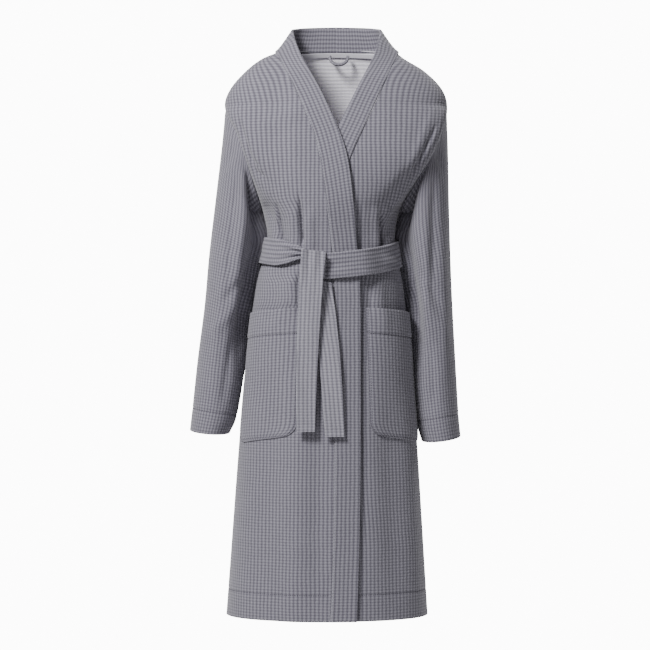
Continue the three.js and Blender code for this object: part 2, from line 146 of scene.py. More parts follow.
@dataclass(frozen=True)
class Fold:
    """A fold in the cloth between two places seen from the front, or from behind."""

    start: tuple[float, float]
    end: tuple[float, float]
    width: float
    height: float
    face: Face = Face.FRONT
    lobes: float = 0.45

    def lift(self, x: Array, z: Array) -> Array:
        """Returns how far the fold lifts the cloth at each place."""
        ax, az = self.start
        bx, bz = self.end
        length = math.hypot(bx - ax, bz - az)
        way = ((bx - ax) / length, (bz - az) / length)
        along = ((x - ax) * way[0] + (z - az) * way[1]) / length
        off = ((x - ax) * way[1] - (z - az) * way[0]) / self.width
        taper = smoothstep(-0.12, 0.3, along) * smoothstep(-0.12, 0.3, 1.0 - along)
        return self.height * taper * (1.0 - self.lobes * off * off) * np.exp(-(off**2))


@dataclass
class Form:
    """The worn shape that all the cloth lies on."""

    levels: tuple[Level, ...]
    folds: tuple[Fold, ...] = ()
    roundness: float = 0.9
    armhole_half: float = 62.0
    curves: dict[str, Curve] = field(default_factory=dict)

    def __post_init__(self) -> None:
        """Makes the smooth functions of the height."""
        for name in ("centre", "half", "front", "back"):
            self.curves[name] = smooth_curve([(level.z, getattr(level, name)) for level in self.levels])

    def armhole_edge(self, z: Array) -> Array:
        """Returns how far the armhole's edge stands before or behind the shoulder seam."""
        share = np.clip(np.abs(np.asarray(z, dtype=float) - ARMHOLE_Z) / ARMHOLE_REACH, 0.0, 1.0)
        return self.armhole_half * (1.0 - share**2) ** 0.7

    def plain(self, turn: Array, z: Array, face: Face) -> Array:
        """Returns the unfolded surface's points.

        Args:
            turn: The turn round the form, 0 at the -X side and pi at the +X side.
            z: The heights.
            face: The front or the back.

        Returns:
            The points, with x, y and z along the last axis.
        """
        turn, z = np.broadcast_arrays(np.asarray(turn, dtype=float), np.asarray(z, dtype=float))
        depth = self.curves["front" if face is Face.FRONT else "back"](z)
        edge = self.armhole_edge(z)
        c = np.cos(turn)
        x = self.curves["centre"](z) - self.curves["half"](z) * np.sign(c) * np.abs(c) ** self.roundness
        y = face.value * (edge + (depth - edge) * np.abs(np.sin(turn)) ** self.roundness)
        return np.stack([x, y, z], axis=-1)

    def turn_at(self, x: Array, z: Array) -> Array:
        """Returns the turn at a width x."""
        share = np.clip((self.curves["centre"](z) - x) / self.curves["half"](z), -1.0, 1.0)
        return np.arccos(np.sign(share) * np.abs(share) ** (1.0 / self.roundness))

    def normal(self, turn: Array, z: Array, face: Face) -> Array:
        """Returns the unfolded surface's outward directions."""
        low = np.clip(np.asarray(turn) - 0.02, 0.0, math.pi)
        high = np.clip(np.asarray(turn) + 0.02, 0.0, math.pi)
        across = self.plain(high, z, face) - self.plain(low, z, face)
        up = self.plain(turn, z + 4.0, face) - self.plain(turn, z - 4.0, face)
        out = -face.value * np.cross(across, up)
        return out / np.linalg.norm(out, axis=-1, keepdims=True)

    def surface(
        self, turn: Array, z: Array, face: Face, stand: Array | float, shift: Array | float = 0.0
    ) -> Array:
        """Returns points that stand off the folded surface.

        Args:
            turn: The turns.
            z: The heights.
            face: The front or the back.
            stand: How far each point stands off.
            shift: A further lift straight out of the face, as the right front's over the left one.

        Returns:
            The points.
        """
        base = self.plain(turn, z, face)
        calm = np.clip(np.abs(np.sin(turn)) * 2.2, 0.0, 1.0) ** 1.5
        lift = sum(fold.lift(base[..., 0], base[..., 2]) for fold in self.folds if fold.face is face) * calm
        points = base + self.normal(turn, z, face) * (lift + stand)[..., None]
        points[..., 1] += face.value * shift
        return points


def shoulder_half(z: float) -> float:
    """Returns the half width along the shoulder line, which is convex."""
    return 119.0 + 100.0 * (1.0 - (1.0 - z / TIP_Z) ** 2.05)


def worn_form() -> Form:
    """Makes the form with its folds."""
    levels = (
        Level(0, -2, 119, 38, 62),
        Level(-12, -9, shoulder_half(-12), 48, 68),
        Level(-36, -5, shoulder_half(-36), 63, 78),
        Level(-72, -3, shoulder_half(-72), 80, 91),
        Level(TIP_Z, -3, 219, 92, 99),
        Level(-160.5, 3, 199.8, 105, 106),
        Level(ARMHOLE_Z, 1, 182, 115, 108),
        Level(-255.5, -6, 158.1, 121, 105),
        Level(UNDERARM_Z, -12.5, 136, 122, 99),
        Level(WAIST_Z, -12.5, 125, 114, 86),
        Level(-461, -16, 144, 117, 98),
        Level(-658, -18, 166, 130, 120),
        Level(HEM_Z, -21, 198, 152, 142),
    )
    front = (
        # above the belt
        Fold((-116, -306), (-108, -420), 3.0, -13.0, lobes=0.1),
        Fold((-75, -290), (-67, -418), 3.4, -12.0, lobes=0.1),
        Fold((-90, -318), (-84, -400), 10, 4.5, lobes=0.2),
        Fold((-124, -330), (-120, -400), 8, 3.0, lobes=0.2),
        Fold((-54, -315), (-50, -400), 9, 3.5, lobes=0.2),
        Fold((82, -322), (88, -420), 3.0, -12.0, lobes=0.1),
        Fold((72, -300), (75, -400), 9, 3.5, lobes=0.2),
        Fold((101, -330), (101, -400), 8, 3.0, lobes=0.2),
        Fold((40, -300), (44, -420), 10, -3.5),
        # from the underarms
        Fold((-146, -300), (-104, -372), 11, -4.0),
        Fold((-140, -262), (-84, -330), 16, 4.0),
        Fold((-168, -220), (-110, -300), 13, -3.0),
        Fold((122, -300), (92, -372), 10, -4.5),
        Fold((132, -270), (84, -330), 14, 4.0),
        Fold((150, -220), (98, -300), 12, -3.0),
        # beside the armholes
        Fold((-196, -130), (-154, -262), 4.5, -5.5, lobes=0.2),
        Fold((-188, -120), (-142, -256), 8, 2.0, lobes=0.2),
        Fold((-176, -205), (-150, -232), 4, -3.0, lobes=0.2),
        Fold((-166, -235), (-140, -252), 4, -3.0, lobes=0.2),
        Fold((194, -146), (140, -256), 4.5, -5.5, lobes=0.2),
        Fold((186, -120), (128, -256), 8, 2.0, lobes=0.2),
        # below the belt
        Fold((-77, -440), (-76, -516), 3.2, -10.0, lobes=0.1),
        Fold((-92, -440), (-90, -508), 9, 3.5, lobes=0.2),
        Fold((-100, -440), (-112, -560), 14, 3.0),
        Fold((30, -470), (34, -1080), 26, -3.0, lobes=0.2),
        Fold((78, -440), (86, -560), 14, 3.0),
        Fold((60, -452), (62, -520), 8, -3.0),
        Fold((-36, -700), (-40, -1112), 20, -3.0, lobes=0.3),
        Fold((-70, -620), (-84, -1112), 26, 3.5, lobes=0.3),
        Fold((-128, -640), (-150, -1112), 24, -3.5, lobes=0.3),
        Fold((96, -660), (112, -1112), 26, -4.0, lobes=0.3),
        Fold((138, -700), (152, -1112), 22, 3.0, lobes=0.3),
        # across the chest
        Fold((-60, -120), (-150, -150), 20, 2.0),
        Fold((70, -130), (150, -170), 20, 2.0),
    )
    back = tuple(
        Fold((x, top), (x * 1.12 - 4, bottom), width, height, Face.BACK, 0.35)
        for x, top, bottom, width, height in (
            (-96, -300, -400, 11, -5.0),
            (-58, -250, -402, 12, 5.5),
            (-30, -290, -402, 9, -5.0),
            (6, -240, -402, 12, 5.0),
            (36, -300, -402, 9, -5.5),
            (70, -260, -402, 11, 4.5),
            (96, -310, -398, 8, -4.0),
            (-84, -420, -640, 12, -5.0),
            (-50, -420, -760, 16, 5.5),
            (-14, -420, -700, 12, -5.5),
            (20, -420, -800, 18, 5.0),
            (56, -420, -660, 12, -5.0),
            (88, -420, -620, 12, 3.5),
            (-110, -700, -1112, 30, 5.0),
            (-20, -760, -1112, 26, -6.0),
            (60, -720, -1112, 30, 5.5),
        )
    )
    return Form(levels, front + back)


@dataclass(frozen=True)
class Looks:
    """The materials of the pieces."""

    cloth: bpy.types.Material
    # The belt's tails: the robe's cloth painted lighter, painted light.
    belt_ends_painted_light: bpy.types.Material
    inside: bpy.types.Material
    # The back's inner face: the robe's lighter inside colour, raised near to white as painted light.
    back_inside_painted_light: bpy.types.Material
    tape: bpy.types.Material
    thread: bpy.types.Material
    # Near-black thread, painted shade along the pocket edges; the hems and cuffs use it too.
    dark_thread_painted_shade: bpy.types.Material


@dataclass(frozen=True)
class WaffleCloth:
    """A heathered waffle weave, with ribs along the cloth and floats across them. Its colour follows the
    weave's height, with painted shade in the pits and painted light on the ridges, over a heathered tone that
    varies at random.
    """

    name: str
    pit: tuple[float, float, float]
    body: tuple[float, float, float]
    ridge: tuple[float, float, float]
    rib: float = 8.2 * MM
    tick: float = 5.8 * MM
    rib_share: float = 0.62
    relief: float = 0.9 * MM
    roughness: float = 0.92
    sheen: float = 0.25

    def material(self) -> bpy.types.Material:
        """Makes the material.

        Returns:
            The material, which reads the piece's "weave" map, in metres.
        """
        material = bpy.data.materials.new(self.name)
        material.use_nodes = True
        tree = material.node_tree
        nodes, links = tree.nodes, tree.links
        shader = nodes["Principled BSDF"]
        shader.inputs["Roughness"].default_value = self.roughness
        shader.inputs["Specular IOR Level"].default_value = 0.18
        shader.inputs["Sheen Weight"].default_value = self.sheen
        shader.inputs["Sheen Roughness"].default_value = 0.55

        def calc(kind: str, a: object, b: object = None, c: object = None) -> bpy.types.NodeSocket:
            """Adds a Math node and returns its output."""
            node = nodes.new("ShaderNodeMath")
            node.operation = kind
            for socket, value in zip(node.inputs, (a, b, c)):
                if isinstance(value, (int, float)):
                    socket.default_value = value
                elif value is not None:
                    links.new(value, socket)
            return node.outputs[0]

        def noise(scale: float, detail: float, vector: bpy.types.NodeSocket) -> bpy.types.NodeSocket:
            """Adds a Noise node and returns its value, from 0 to 1."""
            node = nodes.new("ShaderNodeTexNoise")
            node.inputs["Scale"].default_value = scale
            node.inputs["Detail"].default_value = detail
            links.new(vector, node.inputs["Vector"])
            return node.outputs["Fac"]

        weave = nodes.new("ShaderNodeUVMap")
        weave.uv_map = "weave"
        split = nodes.new("ShaderNodeSeparateXYZ")
        links.new(weave.outputs["UV"], split.inputs[0])
        place = weave.outputs["UV"]
        slow = noise(14.0, 2.0, place)
        quick = noise(160.0, 2.0, place)
        wander = calc("MULTIPLY_ADD", calc("SUBTRACT", quick, 0.5), 0.22, calc("MULTIPLY", slow, 0.5))
        across = calc("ADD", calc("DIVIDE", split.outputs["X"], self.rib), wander)
        along = calc("ADD", calc("DIVIDE", split.outputs["Y"], self.tick), wander)

        def ridge(at: bpy.types.NodeSocket, sharp: float) -> bpy.types.NodeSocket:
            """Returns a row of ridges, one to each unit of at."""
            wave = calc("SINE", calc("MULTIPLY", at, 2.0 * math.pi))
            return calc("POWER", calc("MULTIPLY_ADD", wave, 0.5, 0.5), sharp)

        ribs = ridge(across, 0.8)
        ticks = ridge(along, 0.7)
        crossed = calc("MULTIPLY", ribs, ticks)
        plain = calc("MULTIPLY_ADD", ribs, self.rib_share, calc("MULTIPLY", ticks, 1.0 - self.rib_share))
        height = calc("ADD", calc("MULTIPLY", plain, 0.72), calc("MULTIPLY", crossed, 0.28))
        yarn = noise(900.0, 1.0, place)
        shade = calc("ADD", height, calc("MULTIPLY", calc("SUBTRACT", yarn, 0.5), 0.5))
        shade = calc("ADD", shade, calc("MULTIPLY", calc("SUBTRACT", slow, 0.5), 0.12))

        # The colour follows the weave's height: painted shade in the pits and painted light on the ridges,
        # with the yarn and slow noise as a heathered tone that varies at random.
        ramp = nodes.new("ShaderNodeValToRGB")
        links.new(shade, ramp.inputs["Fac"])
        stops = ramp.color_ramp.elements
        stops[0].position, stops[0].color = 0.08, (*self.pit, 1.0)
        stops[1].position, stops[1].color = 0.92, (*self.ridge, 1.0)
        middle = stops.new(0.5)
        middle.color = (*self.body, 1.0)
        links.new(ramp.outputs["Color"], shader.inputs["Base Color"])

        bump = nodes.new("ShaderNodeBump")
        bump.inputs["Strength"].default_value = 0.55
        bump.inputs["Distance"].default_value = self.relief
        links.new(calc("MULTIPLY_ADD", calc("SUBTRACT", yarn, 0.5), 0.25, height), bump.inputs["Height"])
        links.new(bump.outputs["Normal"], shader.inputs["Normal"])
        return material


@dataclass(frozen=True)
class PlainFinish:
    """One colour with a soft, matt surface."""

    name: str
    colour: tuple[float, float, float]
    roughness: float = 0.9

    def material(self) -> bpy.types.Material:
        """Makes the material."""
        material = bpy.data.materials.new(self.name)
        material.use_nodes = True
        shader = material.node_tree.nodes["Principled BSDF"]
        shader.inputs["Base Color"].default_value = (*self.colour, 1.0)
        shader.inputs["Roughness"].default_value = self.roughness
        shader.inputs["Specular IOR Level"].default_value = 0.2
        return material


def make_looks() -> Looks:
    """Makes the materials once for all the pieces."""
    outside = WaffleCloth("waffle_cloth", (0.098, 0.091, 0.116), (0.182, 0.173, 0.210), (0.272, 0.261, 0.306))
    # A lighter copy of the robe's cloth for the belt's tails: painted light, so that they read brighter than
    # the skirt behind them.
    belt_ends_painted_light = WaffleCloth(
        "waffle_belt_ends_painted_light", (0.140, 0.132, 0.163), (0.241, 0.231, 0.273), (0.338, 0.326, 0.376)
    )
    inside = WaffleCloth(
        "waffle_inside", (0.16, 0.15, 0.19), (0.25, 0.24, 0.29), (0.36, 0.35, 0.41), rib_share=0.25
    )
    # The back's inner face: the robe's lighter inside colour, raised near to white as painted light so that
    # it looks lit without a lamp inside.
    back = WaffleCloth(
        "waffle_back_inside", (0.78, 0.75, 0.84), (0.90, 0.87, 0.95), (0.97, 0.95, 0.99), rib_share=0.12
    )
    return Looks(
        cloth=outside.material(),
        belt_ends_painted_light=belt_ends_painted_light.material(),
        inside=inside.material(),
        back_inside_painted_light=back.material(),
        tape=PlainFinish("neck_tape_cloth", (0.74, 0.72, 0.79)).material(),
        thread=PlainFinish("light_thread", (0.34, 0.33, 0.37), 0.7).material(),
        # Near-black thread: on the pockets it is painted shade, drawing the thin dark lines along their edges
        # where the real stitches are light; the hem and cuff stitches use it too.
        dark_thread_painted_shade=PlainFinish("dark_thread_painted_shade", (0.060, 0.056, 0.074), 0.7).material(),
    )


def apply_modifier(piece: bpy.types.Object, kind: str, **settings: object) -> None:
    """Adds a modifier to a piece and applies it.

    Args:
        piece: The mesh object.
        kind: The modifier's type.
        settings: The modifier's values by name.
    """
    modifier = piece.modifiers.new(kind.lower(), kind)
    for name, value in settings.items():
        setattr(modifier, name, value)
    bpy.ops.object.select_all(action="DESELECT")
    piece.select_set(True)
    bpy.context.view_layer.objects.active = piece
    bpy.ops.object.modifier_apply(modifier=modifier.name)


def grid_piece(
    name: str,
    points: Array,
    weave: Array,
    materials: Sequence[bpy.types.Material],
    ring: bool = False,
) -> bpy.types.Object:
    """Makes a one-layer piece of cloth from a grid of points.

    Args:
        name: The piece's name.
        points: Rows of points in millimetres, where along a row and up the rows turn outwards.
        weave: The cloth's own place of each point, in millimetres, with one column more on a ring.
        materials: The outer face's material, then the inner face's.
        ring: Whether each row closes on itself.

    Returns:
        The new object.
    """
    rows, columns = points.shape[:2]
    mesh = bpy.data.meshes.new(name)
    around = columns if ring else columns - 1
    i, j = np.meshgrid(np.arange(rows - 1), np.arange(around), indexing="ij")
    k = (j + 1) % columns
    round_face = [i * columns + j, i * columns + k, (i + 1) * columns + k, (i + 1) * columns + j]
    faces = np.stack(round_face, axis=-1)
    mesh.from_pydata((points.reshape(-1, 3) * MM).tolist(), [], faces.reshape(-1, 4).tolist())
    layer = mesh.uv_layers.new(name="weave")
    corners = np.stack([weave[i, j], weave[i, j + 1], weave[i + 1, j + 1], weave[i + 1, j]], axis=2)
    layer.data.foreach_set("uv", (corners.reshape(-1) * MM).astype(np.float32))
    for material in materials:
        mesh.materials.append(material)
    piece = bpy.data.objects.new(name, mesh)
    bpy.context.scene.collection.objects.link(piece)
    return piece


def smooth_faces(piece: bpy.types.Object) -> None:
    """Shades a piece smooth, with its sharp edges kept."""
    bpy.ops.object.select_all(action="DESELECT")
    piece.select_set(True)
    bpy.context.view_layer.objects.active = piece
    bpy.ops.object.shade_smooth_by_angle(angle=math.radians(50.0))


def thicken(piece: bpy.types.Object, thickness: float = CLOTH) -> None:
    """Gives a one-layer piece its thickness, inwards, with a soft rim."""
    apply_modifier(
        piece,
        "SOLIDIFY",
        thickness=thickness * MM,
        offset=-1.0,
        use_even_offset=True,
        material_offset=1,
        material_offset_rim=0,
    )
    apply_modifier(
        piece, "BEVEL", width=0.6 * MM, segments=2, limit_method="ANGLE", angle_limit=math.radians(60.0)
    )
    smooth_faces(piece)


def row_lengths(points: Array) -> Array:
    """Returns how far each point lies along its row."""
    steps = np.linalg.norm(np.diff(points, axis=1), axis=-1)
    return np.concatenate([np.zeros((points.shape[0], 1)), np.cumsum(steps, axis=1)], axis=1)


def line_lengths(points: Array) -> Array:
    """Returns how far each point lies along a line."""
    return row_lengths(points[None])[0]


@dataclass
class StripShape:
    """A folded strip of cloth between two lines, closed all round."""

    thickness: float = FOLDED
    across: int = 9

    def build(
        self,
        name: str,
        low: Array,
        high: Array,
        out: Array,
        relief: Array | None,
        material: bpy.types.Material,
    ) -> bpy.types.Object:
        """Makes the strip.

        Args:
            name: The piece's name.
            low: The first edge's line, in millimetres.
            high: The second edge's line.
            out: The outward directions along the strip.
            relief: A lift for each place along and across the strip, or None.
            material: The cloth.

        Returns:
            The new object, whose cloth runs along the strip.
        """
        count = len(low)
        share = np.linspace(0.0, 1.0, self.across)
        width = np.linalg.norm(high - low, axis=1)
        rounding = np.minimum(0.5, self.thickness * 0.5 / np.maximum(width, 1e-6))
        spread = rounding[:, None] + (1.0 - 2.0 * rounding[:, None]) * share[None]
        lift = np.zeros((count, self.across)) if relief is None else relief
        face = low[:, None] + (high - low)[:, None] * spread[..., None] + out[:, None] * lift[..., None]
        outer = face + out[:, None] * self.thickness
        side = (high - low) / width[:, None]
        arc = np.linspace(-math.pi / 2, math.pi / 2, 7)[1:-1]
        half = self.thickness / 2
        caps = []
        for edge, sign in ((face[:, -1], 1.0), (face[:, 0], -1.0)):
            middle = edge + out * half
            swing = -arc if sign > 0 else arc
            along = side[:, None] * (sign * half * np.cos(swing))[None, :, None]
            raised = out[:, None] * (half * np.sin(swing))[None, :, None]
            caps.append(middle[:, None] + along + raised)
        loop = np.concatenate([outer, caps[0], face[:, ::-1], caps[1]], axis=1)
        lengths = line_lengths((low + high) / 2)
        around = row_lengths(np.concatenate([loop, loop[:, :1]], axis=1))
        weave = np.stack([around, np.broadcast_to(lengths[:, None], around.shape)], axis=-1)
        piece = grid_piece(name, loop, weave, [material], ring=True)
        self.close_ends(piece, count, loop.shape[1])
        smooth_faces(piece)
        return piece

    @staticmethod
    def close_ends(piece: bpy.types.Object, rows: int, columns: int) -> None:
        """Closes the strip's two ends with one face each."""
        mesh = piece.data
        old = [tuple(polygon.vertices) for polygon in mesh.polygons]
        values = np.empty(len(mesh.loops) * 2, dtype=np.float32)
        mesh.uv_layers["weave"].data.foreach_get("uv", values)
        places = np.empty(len(mesh.vertices) * 3)
        mesh.vertices.foreach_get("co", places)
        materials = list(mesh.materials)
        name = mesh.name
        first = tuple(range(columns))[::-1]
        last = tuple(range((rows - 1) * columns, rows * columns))
        fresh = bpy.data.meshes.new(name)
        fresh.from_pydata(places.reshape(-1, 3).tolist(), [], old + [first, last])
        layer = fresh.uv_layers.new(name="weave")
        ends = np.zeros((2 * columns, 2), dtype=np.float32)
        ends[:, 0] = np.tile(np.linspace(0, 0.05, columns), 2)
        layer.data.foreach_set("uv", np.concatenate([values, ends.reshape(-1)]))
        for material in materials:
            fresh.materials.append(material)
        piece.data = fresh
        bpy.data.meshes.remove(mesh)
        fresh.name = name


@dataclass
class BandLines:
    """The front bands' seams and folded edges, from the hem to the centre back."""

    form: Form
    stations: tuple[tuple[tuple[float, ...], tuple[float, ...]], ...] = (
        ((-15, HEM_Z), (36, HEM_Z)),
        ((-12, -1042), (39, -1042)),
        ((-8, -877), (43, -877)),
        ((-7, -660), (44, -660)),
        ((-8, -452), (43, -452)),
        ((-14, -375), (36, -373)),
        ((-22, -305), (30, -297)),
        ((-29, -250), (23, -236)),
        ((-37, -204), (13, -190)),
        ((-53, -150), (-7, -136)),
        ((-86, -73), (-41, -65)),
        ((-119, -5), (-72, -7)),
        ((-122, 8, 0), (-87, 10, 43)),
        ((-108, 36, 2), (-83, 35, 53)),
        ((-64, 57, 7), (-56, 57, 59)),
        ((-2, 62, 9), (-2, 64, 61)),
    )

    def __post_init__(self) -> None:
        """Makes the seam's smooth function of the height."""
        self.middle = smooth_curve([(0, 0), (-149, 0), (WAIST_Z, -18), (HEM_Z, -20)])
        self.right_seam = smooth_curve([(seam[1], seam[0]) for seam, _ in self.stations if len(seam) == 2])

    def seam_x(self, z: Array, side: Side) -> Array:
        """Returns the seam's x at a height."""
        right = self.right_seam(z)
        return right if side is Side.RIGHT else 2 * self.middle(z) - right

    def lap(self, x: Array, z: Array) -> Array:
        """Returns how far the right front is lifted over the left one."""
        return LAP_LIFT * smoothstep(-128, -80, x) * (1.0 - smoothstep(-122, -45, z))

    def front(self, x: Array, z: Array, side: Side, stand: float) -> Array:
        """Returns points on a front at its own height over the form."""
        turn = self.form.turn_at(x, z)
        shift = self.lap(x, z) if side is Side.RIGHT else 0.0
        return self.form.surface(turn, z, Face.FRONT, stand, shift)

    def lines(self, side: Side, per_station: int = 12) -> tuple[Array, Array]:
        """Returns the seam's and the folded edge's points, with a place between each two stations."""
        count = per_station * (len(self.stations) - 1) + 1
        at = np.linspace(0, len(self.stations) - 1, count)
        both = []
        for key in (0, 1):
            xyz = []
            for place in (station[key] for station in self.stations):
                if len(place) == 2:
                    x, z = place
                    own = x if side is Side.RIGHT else 2 * float(self.middle(z)) - x
                    y = float(self.front(np.array([own]), np.array([z]), side, 0.0)[0, 1])
                    xyz.append((own, y, z))
                else:
                    own = place[0] if side is Side.RIGHT else 2 * NECK_X - place[0]
                    xyz.append((own, place[1], place[2]))
            curves = [smooth_curve(list(enumerate(column))) for column in zip(*xyz)]
            line = np.stack([curve(at) for curve in curves], axis=-1)
            on_front = line[:, 2] < -20
            placed = self.front(line[:, 0], line[:, 2], side, 0.0)
            line[on_front, 1] = placed[on_front, 1]
            both.append(self._eased(line))
        return both[0], both[1]

    @staticmethod
    def _eased(line: Array, times: int = 14) -> Array:
        """Rounds a line round the neck, where it leaves the front."""
        near = smoothstep(-75, -20, line[1:-1, 2])[:, None]
        for _ in range(times):
            middle = (line[:-2] + line[2:]) / 2
            line[1:-1] += near * (middle - line[1:-1]) * 0.8
        return line


@dataclass
class BodyPanels:
    """The back and the two fronts."""

    form: Form
    bands: BandLines
    looks: Looks
    row_step: float = 5.0
    stitch_depth: float = 0.9

    def rows(self, top: float) -> Array:
        """Returns the heights of the rows, closer round the hem's stitching."""
        plain = np.linspace(HEM_Z, top, int((top - HEM_Z) / self.row_step))
        stitch = HEM_Z + HEM_DEPTH
        return np.unique(np.concatenate([plain, stitch + np.array([-3.0, -1.5, 0.0, 1.5, 3.0])]))

    def hem_groove(self, z: Array) -> Array:
        """Returns how far the hem's stitching draws the cloth in."""
        return -self.stitch_depth * np.exp(-(((z - HEM_Z - HEM_DEPTH) / 1.8) ** 2))

    def front(self, side: Side) -> bpy.types.Object:
        """Builds one front."""
        z = self.rows(-1.0)[:, None]
        columns = 96
        seam = self.form.turn_at(self.bands.seam_x(z, side), z)
        share = np.linspace(0.0, 1.0, columns)[None]
        turn = seam * share if side is Side.RIGHT else seam + (math.pi - seam) * share
        z = np.broadcast_to(z, turn.shape)
        plain_x = self.form.plain(turn, z, Face.FRONT)[..., 0]
        shift = self.bands.lap(plain_x, z) if side is Side.RIGHT else 0.0
        points = self.form.surface(turn, z, Face.FRONT, CLOTH + self.hem_groove(z), shift)
        lengths = row_lengths(points)
        start = np.abs(plain_x - (-8.0 if side is Side.RIGHT else -30.0))
        weave_x = lengths - lengths[:, -1:] - start[:, -1:] if side is Side.RIGHT else lengths + start[:, :1]
        outwards = np.abs(plain_x - self.form.curves["centre"](z)) / self.form.curves["half"](z)
        lean = 0.13 * smoothstep(0.25, 1.0, outwards) * np.clip(z + 340.0, 0.0, None)
        weave_x = weave_x - side.value * lean
        piece = grid_piece(
            f"front_{side.name.lower()}_cloth",
            points,
            np.stack([weave_x, z], axis=-1),
            [self.looks.cloth, self.looks.inside],
        )
        thicken(piece)
        return piece

    def back(self) -> bpy.types.Object:
        """Builds the back, whose neck seam is raised in the middle."""
        z = self.rows(0.0)[:, None]
        turn = np.linspace(math.pi, 0.0, 132)[None]
        turn, z = np.broadcast_arrays(turn, z)
        points = self.form.surface(turn, z, Face.BACK, CLOTH + self.hem_groove(z))
        share = np.clip(np.abs(points[..., 0] - NECK_X) / 119.0, 0.0, 1.0)
        points[..., 2] += 13.0 * (1.0 - share**4) * smoothstep(-70, 0, z)
        lengths = row_lengths(points)
        weave = np.stack([lengths - lengths[:, -1:] / 2, z], axis=-1)
        # The inner face wears the near-white copy of the inside cloth, painted light.
        piece = grid_piece("back_cloth", points, weave, [self.looks.cloth, self.looks.back_inside_painted_light])
        thicken(piece)
        return piece

    def hem_stitches(self, name: str, turn: Array, face: Face, lapped: bool = False) -> None:
        """Builds the stitches of a panel's hem along the given turns."""
        z = np.full_like(turn, HEM_Z + HEM_DEPTH)
        plain_x = self.form.plain(turn, z, face)[..., 0]
        shift = self.bands.lap(plain_x, z) if lapped else 0.0
        line = self.form.surface(turn, z, face, np.full_like(turn, CLOTH - self.stitch_depth + 0.3), shift)
        Stitches().build(name, line, self.form.normal(turn, z, face), self.looks.dark_thread_painted_shade)

    def build(self) -> None:
        """Builds the three panels with their hem stitches and hides the nodes that they stand for."""
        for side, node in ((Side.RIGHT, "front_panel_right"), (Side.LEFT, "front_panel_left")):
            piece = self.front(side)
            ride_as(piece, "garment", "robe_cloth", node)
        hem = np.array([HEM_Z + HEM_DEPTH])
        seams = {side: float(self.form.turn_at(self.bands.seam_x(hem, side), hem)[0]) for side in Side}
        right = np.linspace(0.02, seams[Side.RIGHT] - 0.01, 160)
        self.hem_stitches("hem_stitches_right", right, Face.FRONT, True)
        left = np.linspace(seams[Side.LEFT] + 0.01, math.pi - 0.02, 160)
        self.hem_stitches("hem_stitches_left", left, Face.FRONT)
        self.hem_stitches("hem_stitches_back", np.linspace(math.pi - 0.02, 0.02, 300), Face.BACK)
        piece = self.back()
        ride_as(piece, "garment", "robe_cloth", "back_panel")


def ride_as(piece: bpy.types.Object, body: str, slot: str, *nodes: str) -> None:
    """Parents a piece to its body, says which body it rides on and hides the nodes it stands for."""
    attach(piece, body)
    if nodes:
        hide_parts(*nodes)
    LOG.info("%s rides on %s", piece.name, body)


def rows_through(stations: Array, at: Array) -> Array:
    """Returns smooth rows between stations.

    Args:
        stations: The stations, evenly spaced, along the first axis.
        at: The places, from 0 at the first station to their count less 1.

    Returns:
        One row for each place.
    """
    last = len(stations) - 1
    slope = np.empty_like(stations)
    slope[1:-1] = (stations[2:] - stations[:-2]) / 2
    slope[0] = stations[1] - stations[0]
    slope[-1] = stations[-1] - stations[-2]
    i = np.clip(np.floor(at).astype(int), 0, last - 1)
    u = (at - i).reshape(-1, *([1] * (stations.ndim - 1)))
    return (
        (2 * u**3 - 3 * u**2 + 1) * stations[i]
        + (u**3 - 2 * u**2 + u) * slope[i]
        + (3 * u**2 - 2 * u**3) * stations[i + 1]
        + (u**3 - u**2) * slope[i + 1]
    )


def grid_normals(points: Array, ring: bool) -> Array:
    """Returns the outward directions of a grid, from its rows and columns."""
    if ring:
        across = np.roll(points, -1, axis=1) - np.roll(points, 1, axis=1)
    else:
        across = np.gradient(points, axis=1)
    up = np.gradient(points, axis=0)
    out = np.cross(across, up)
    return out / np.maximum(np.linalg.norm(out, axis=-1, keepdims=True), 1e-9)


@dataclass(frozen=True)
class SleeveRing:
    """A level of a sleeve: its edges away from and beside the body, its half depth and its middle's y."""

    outer: tuple[float, float]
    inner: tuple[float, float]
    depth: float
    y: float


